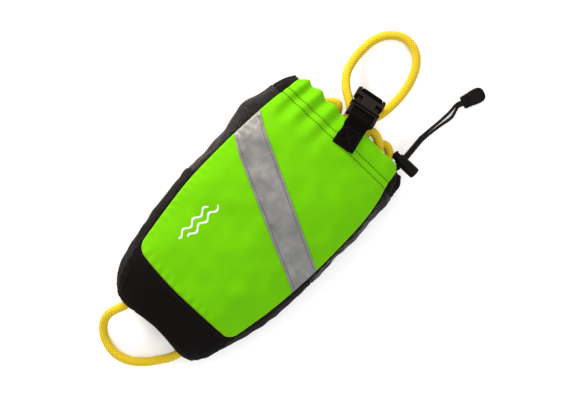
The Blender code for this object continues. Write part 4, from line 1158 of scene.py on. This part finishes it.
def reflective_tape():
    u, v = np.linspace(-1, 1, TAPE_COLUMNS), np.linspace(0, 1, TAPE_ROWS)
    grid = tape_point(*np.broadcast_arrays(u, v[:, None]))
    cloth_piece("silver_tape", grid, TAPE, "reflective_tape", TAPE_THICK)


def normals_of(surface, a, b):
    da = surface(a + 0.004, b) - surface(a - 0.004, b)
    db = surface(a, b + 0.0004) - surface(a, b - 0.0004)
    n = unit(np.cross(da, db))
    p = surface(a, b)
    away = p - np.stack([0 * p[..., 0], p[..., 1], 0 * p[..., 2] + SHELL_MIDDLE[2]], -1)
    return n * np.sign((n * away).sum(-1, keepdims=True))


def stitch_parts(line, normal, rise=0.00012, radius=0.00030, length=STITCH):
    """Stitches along a line on a surface: each a rounded thread that dips into the cloth at its ends."""
    along = length_along(line)
    count = max(1, int(along[-1] // (length + STITCH_GAP)))
    start = (along[-1] - count * (length + STITCH_GAP) + STITCH_GAP) / 2
    shape = ((-1.0, 0.10, -0.6), (-0.86, 0.75, -0.1), (-0.45, 1.0, 0.5), (0.0, 1.05, 0.62), (0.45, 1.0, 0.5),
             (0.86, 0.75, -0.1), (1.0, 0.10, -0.6))
    parts = []
    sides = 7
    faces = tube_faces(len(shape), sides)
    blank = np.zeros((sum(len(f) for f in faces), 2))

    def at(s):
        return (np.array([np.interp(s, along, line[:, k]) for k in range(3)]),
                unit(np.array([np.interp(s, along, normal[:, k]) for k in range(3)])))

    turn = 2 * np.pi * np.arange(sides) / sides
    for k in range(count):
        middle = start + k * (length + STITCH_GAP) + length / 2
        _, up = at(middle)
        tip = unit(at(middle + length / 2)[0] - at(middle - length / 2)[0])
        side = unit(np.cross(tip, up))
        rings = []
        for s, wide, lift in shape:
            here = at(middle + s * length / 2)[0] + up * (rise + lift * radius)
            rings.append(here + wide * radius * (side * np.cos(turn)[:, None] + up * np.sin(turn)[:, None]))
        parts.append((np.vstack(rings), faces, blank))
    return parts


def surface_line(surface, a, b):
    """Points and normals of a line on a surface; a or b may be one number."""
    a, b = np.broadcast_arrays(a, b)
    return surface(a, b), normals_of(surface, a, b)


def stitches(name, lines, look, slot="black_fabric", body="bag", **kw):
    parts = [part for line, normal in lines for part in stitch_parts(line, normal, **kw)]
    points, faces, _ = join_parts(parts)
    return finish(mesh_piece(name, bag_point(points), faces), body, look)


def all_stitching():
    u = np.linspace(-0.985, 0.985, 260)
    stitches("stitches_front_hem", [surface_line(front, u, hem_row(u, k)) for k in range(2)], DARK_THREAD,
             rise=0.0001, radius=0.00037)
    rows = [surface_line(tape_point, np.linspace(-0.975, 0.975, 200), v) for v in (0.085, 0.915)]
    stitches("stitches_tape", rows, GREY_THREAD, "reflective_tape", radius=0.00026)
    lines = [surface_line(front, u, seam_y(u) - 0.0036)]
    y = np.linspace(-0.140, -0.104, 30)
    lines += [surface_line(front, sign * (1 - 0.0040 / 0.064), y) for sign in (-1, 1)]
    stitches("stitches_band", lines, BLACK_THREAD)
    y = np.linspace(-0.142, 0.136, 280)
    lines = []
    for side in ("left", "right"):
        surface = surface_of(side)
        lines += [surface_line(surface, d, y) for d in (0.072, 0.928)]
        lines += [surface_line(surface, np.linspace(0.05, 0.95, 60), at) for at in
                  (MESH_SEAM_Y - 0.0036, HEM_SEAM_Y + 0.0034, 0.1315, -0.1425)]
    stitches("stitches_sides", lines, BLACK_THREAD)
    lines = [surface_line(back, s * (1 - 0.0042 / 0.073), y) for s in (-1, 1)]
    lines += [surface_line(back, u, at) for at in (0.1315, 0.1245)]
    stitches("stitches_back", lines, BLACK_THREAD)


WAVES = ((-0.0500, -0.060, -0.014), (-0.0420, -0.052, -0.006))     # (x, start, end) of each line
WAVE_RISE, WAVE_LENGTH, WAVE_HALF = 0.0021, 0.0153, 0.0012


def printed_waves():
    """A plain mark of two wavy lines, printed on the green near its left side."""
    parts = []
    for x0, start, end in WAVES:
        y = np.linspace(start, end, 160)
        middle = x0 + WAVE_RISE * np.sin(y * 2 * np.pi / WAVE_LENGTH)
        taper = WAVE_HALF * np.sqrt(np.clip(np.minimum(y - start, end - y) / 0.0014, 0.02, 1.0))
        across = np.linspace(-1, 1, 9)
        x = middle[:, None] + taper[:, None] * across[None, :]
        yy = np.broadcast_to(y[:, None], x.shape)
        grid = front(x / half_width(yy, -1.0), yy)
        grid[..., 2] += 0.00012 * (1 - 0.6 * across**4)
        parts.append((grid.reshape(-1, 3), grid_faces(160, 9), grid_uvs(*lengths_of(grid))))
    points, faces, uvs = join_parts(parts)
    obj = mesh_piece("printed_waves", bag_point(points), faces, uvs)
    thicken(obj, "ink", INK_THICK)
    finish(obj, "bag", WHITE_PRINT)


# ---- the drawcord in its channel ------------------------------------------------------------------
def channel_cord():
    low, high = CORD_SHARE - CORD_PARTED, CORD_SHARE + CORD_PARTED
    stops = ([("right", low - low * k / 3) for k in range(1, 4)]
             + [("front", 1 - k / 24) for k in range(1, 24)]
             + [("left", 1 - k / 6) for k in range(0, 7)]
             + [("back", 1 - k / 10) for k in range(1, 10)]
             + [("right", 1 - (1 - high) * k / 5) for k in range(0, 5)])
    inset = 0.012
    stops = [("right", low - 0.005)] + stops + [("right", high + 0.005)]
    points = []
    for side, t in stops:
        t = min(max(t, inset), 1 - inset)
        share = {"front": 2 * t - 1, "back": 1 - 2 * t, "right": t, "left": 1 - t}[side]
        points.append(surface_of(side)(np.array(share), DRAWCORD_Y) + inward(side, share) * 0.0028)
    line = bag_point(smooth_route(points, 0.0008))
    tube = tube_part(line, DRAWCORD_R, 14, CORD_STRANDS, CORD_PITCH, CORD_DEPTH)
    obj = mesh_piece("braided_drawcord", *tube)
    finish(obj, "bag", CORD)
    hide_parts("drawcord")


# ---- straps ---------------------------------------------------------------------------------------
FAR_BAR, BAR_N = (-0.0088, -0.0060), 0.0013
STRAP_PATH_N = BAR_N + 0.0003 + STRAP_THICK / 2 + 0.0001
SLOT_P = (0.0196, 0.0240)
LEAN_ROOM = 0.0008


def strap_point(x, h, z):
    """A point of the strap's own axes (across, along, up) in the bag's."""
    cos, sin = math.cos(STRAP_YAW), math.sin(STRAP_YAW)
    x, h, z = np.broadcast_arrays(np.asarray(x, float), np.asarray(h, float), np.asarray(z, float))
    return np.stack([STRAP_X + x * cos - h * sin, STRAP_Y + x * sin + h * cos, z], -1)


def buckle_to_strap(p, n):
    sin, cos = math.sin(BUCKLE_PITCH), math.cos(BUCKLE_PITCH)
    return BUCKLE_H + p * cos + n * sin, BUCKLE_Z - p * sin + n * cos


def arc(middle, radius, start, end, steps):
    turns = [math.radians(start + (end - start) * k / steps) for k in range(steps + 1)]
    return [(middle[0] + radius * math.cos(a), middle[1] + radius * math.sin(a)) for a in turns]


def webbing(name, route, half, body):
    """A flat strap with rounded selvages down a line of (along, up) points of the strap's axes."""
    line = smooth_route([(h, z, 0) for h, z in route], 0.0006)[:, :2]
    tangent = unit(np.gradient(line, axis=0))
    normal = np.stack([-tangent[:, 1], tangent[:, 0]], -1)
    top = np.linspace(-1, 1, 25)
    bulge = (1 - np.abs(top) ** 8) ** 0.5 * 0.94 + 0.06
    wave = 0.06 * np.cos(top * math.pi * 7)
    ring_x = np.concatenate([top, top[::-1]]) * half
    ring_n = np.concatenate([bulge + wave, -(bulge + wave)[::-1]]) * STRAP_THICK / 2
    sides = len(ring_x)
    x = np.broadcast_to(ring_x, (len(line), sides))
    h = line[:, :1] + normal[:, :1] * ring_n
    z = line[:, 1:] + normal[:, 1:] * ring_n
    points = strap_point(x, h, z)
    along = length_along(line)
    u = np.concatenate([ring_x, ring_x[:1]])
    grid_u, grid_v = np.meshgrid(u, along)
    faces, uvs = tube_faces(len(line), sides), grid_uvs(grid_u, grid_v)
    for cap in faces[-2:]:
        uvs = np.vstack([uvs, np.stack([ring_x[np.array(cap) % sides], 0 * ring_x], -1)])
    obj = mesh_piece(name, bag_point(points.reshape(-1, 3)), faces, uvs)
    return finish(obj, body, WEBBING), line


def crest(h):
    y = STRAP_Y + h * math.cos(STRAP_YAW)
    return float(smooth(FRONT_HEIGHT, y) + smooth(CROWN, y)) + 0.0003 + STRAP_THICK / 2 + LEAN_ROOM


def front_webbing():
    patch = [(h, crest(h)) for h in (0.0, 0.006, 0.012, 0.018, 0.024)]
    lead = [buckle_to_strap(p, n) for p, n in ((-0.0175, 0.0032), (-0.0125, STRAP_PATH_N))]
    turn = [buckle_to_strap(p, n) for p, n in arc((FAR_BAR[1] - 0.0008, 0.0), STRAP_PATH_N, 80, -80, 8)]
    tail = [buckle_to_strap(p, -STRAP_PATH_N) for p in (FAR_BAR[0], -0.0120, -0.0155)]
    route = patch + lead + [buckle_to_strap(FAR_BAR[0], STRAP_PATH_N)] + turn + tail
    obj, line = webbing("front_webbing", route, STRAP_HALF, "bag")
    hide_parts("front_strap")

    def top(x, h):
        z = np.interp(h, line[:60, 0], line[:60, 1]) + STRAP_THICK / 2
        return strap_point(x, h, z)

    low, high, wide = 0.0022, 0.0215, 0.0098
    corners = [(-wide, low), (wide, low), (wide, high), (-wide, high), (-wide, low), (wide, high)]
    lines = []
    for (x0, h0), (x1, h1) in [*zip(corners, corners[1:]), ((-wide, high), (wide, low))]:
        share = np.linspace(0.03, 0.97, 20)
        p = top(x0 + (x1 - x0) * share, h0 + (h1 - h0) * share)
        lines.append((p, np.broadcast_to(np.array([0, 0, 1.0]), p.shape)))
    stitches("stitches_front_strap", lines, BLACK_THREAD, "webbing", rise=0.0, radius=0.00034, length=0.0022)


def rear_webbing():
    under = 0.0003 + STRAP_THICK / 2 + LEAN_ROOM

    def below(y):
        return (y - STRAP_Y) / math.cos(STRAP_YAW), float(back_height(y)) - under

    route = [below(y) for y in (0.1280, 0.1340, 0.1400, 0.1460, 0.1520)]
    route += [(0.0360, 0.0066), (0.0455, 0.0100)]
    route += [buckle_to_strap(p, n) for p, n in ((0.0276, -0.0170), (0.0279, -0.0120), (0.0287, -0.0075),
                                                 (0.0292, -0.0035))]
    route += [buckle_to_strap(p, n) for p, n in arc((SLOT_P[1] + 0.0016, 0.0), 0.0034, -15, 195, 10)]
    route += [buckle_to_strap(p, n) for p, n in ((0.0222, -0.0035), (0.0238, -0.0075), (0.0261, -0.0120),
                                                 (0.0259, -0.0165), (0.0257, -0.0185))]
    obj, _ = webbing("rear_webbing", route, STRAP_HALF - 0.0002, None)
    start = bag_point(strap_point(0, 0.0420, 0.0080))
    end = bag_point(strap_point(0, *buckle_to_strap(0.0268, -0.0190)))
    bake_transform(obj)
    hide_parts("rear_strap", "rear_strap_loop")
    lines = []
    x = np.linspace(-0.0105, 0.0105, 20)
    face = np.array(buckle_to_strap(-1, 0)) - np.array(buckle_to_strap(0, 0))
    normal = strap_point(0, *face) - strap_point(0, 0, 0)
    for n in (-0.0122, -0.0146, -0.0170):
        h, z = buckle_to_strap(0.0259 - STRAP_THICK / 2, n)
        lines.append((strap_point(x, h, z), np.broadcast_to(normal, (20, 3))))
    stitches("stitches_rear_strap", lines, BLACK_THREAD, "webbing", "buckle_socket", rise=0.0001,
             radius=0.00034)


# ---- the moulded parts, carried over from the frame -----------------------------------------------
BEVEL_ANGLE = math.radians(32)


def dress(names, look, bevel):
    """Gives CAD solids their material and rounds their edges."""
    for name in names:
        node = NODES[name]
        for material_slot in node.material_slots:
            material_slot.material = look
        edge = node.modifiers.new("rounded", "BEVEL")
        edge.width, edge.segments, edge.limit_method = bevel, 3, "ANGLE"
        edge.angle_limit = BEVEL_ANGLE
        edge.harden_normals = True


# ---- light and ground -----------------------------------------------------------------------------
WORLD_LIGHT, TOP_POWER, LEFT_POWER, FILL_POWER, FLOOR_GLOW = 0.80, 12.0, 46.0, 7.0, 0.10


def area_light(name, place, target, power, size, colour=(1.0, 1.0, 1.0)):
    lamp = bpy.data.lights.new(name, "AREA")
    lamp.shape, lamp.size, lamp.size_y = "RECTANGLE", *size
    lamp.energy, lamp.color = power, colour
    obj = bpy.data.objects.new(name, lamp)
    bpy.context.scene.collection.objects.link(obj)
    obj.location = place
    obj.rotation_euler = (Vector(target) - Vector(place)).to_track_quat("-Z", "Y").to_euler()


def studio():
    scene = bpy.context.scene
    scene.view_settings.view_transform = "Standard"
    scene.view_settings.look = "None"
    world = bpy.data.worlds.new("studio")
    world.use_nodes = True
    world.node_tree.nodes["Background"].inputs[0].default_value = (1.0, 1.0, 1.0, 1.0)
    world.node_tree.nodes["Background"].inputs[1].default_value = WORLD_LIGHT
    scene.world = world
    steps = np.linspace(-4.0, 4.0, 9)
    floor = np.array([[(x, y, 0.0) for x in steps] for y in steps]).reshape(-1, 3)
    obj = mesh_piece("studio_floor", floor - np.array([0, 0, 0.0004]), grid_faces(9, 9))
    look = Look("floor_white", (0.94, 0.94, 0.94), 0.9, Specular_IOR_Level=0.1)
    look.set("Emission Color", (1.0, 1.0, 1.0, 1.0))
    look.set("Emission Strength", FLOOR_GLOW)
    grain = look.noise(look.place(), 3.0)
    look.set("Base Color", look.ramp(grain, (0.3, (0.935, 0.935, 0.935)), (0.7, (0.945, 0.945, 0.945))))
    obj.data.materials.append(look.material)
    area_light("top_light", (0.2, 0.2, 1.9), (0, 0, 0), TOP_POWER, (1.6, 1.6))
    area_light("left_light", (-1.45, 0.45, 0.50), (0, 0, 0.05), LEFT_POWER, (0.9, 0.5), (1.0, 0.88, 0.78))
    area_light("right_fill", (1.5, -0.6, 0.9), (0, 0, 0.03), FILL_POWER, (0.8, 0.8))


rope()
drawcord_tails()
panels()
facing()
base_end()
foam()
reflective_tape()
all_stitching()
printed_waves()
channel_cord()
front_webbing()
rear_webbing()
dress(("buckle_plug", "latch_arm_left", "latch_arm_right"), BUCKLE_PLASTIC, 0.00040)
dress(("buckle_socket",), BUCKLE_PLASTIC, 0.00080)
dress(("cord_lock_barrel", "cord_lock_plunger"), BLACK_PLASTIC, 0.0002)
dress([f"base_{part}_{side}" for part in ("grommet", "washer") for side in ("left", "right")],
      BLACK_PLASTIC, 0.0002)
lock_spring()
studio()
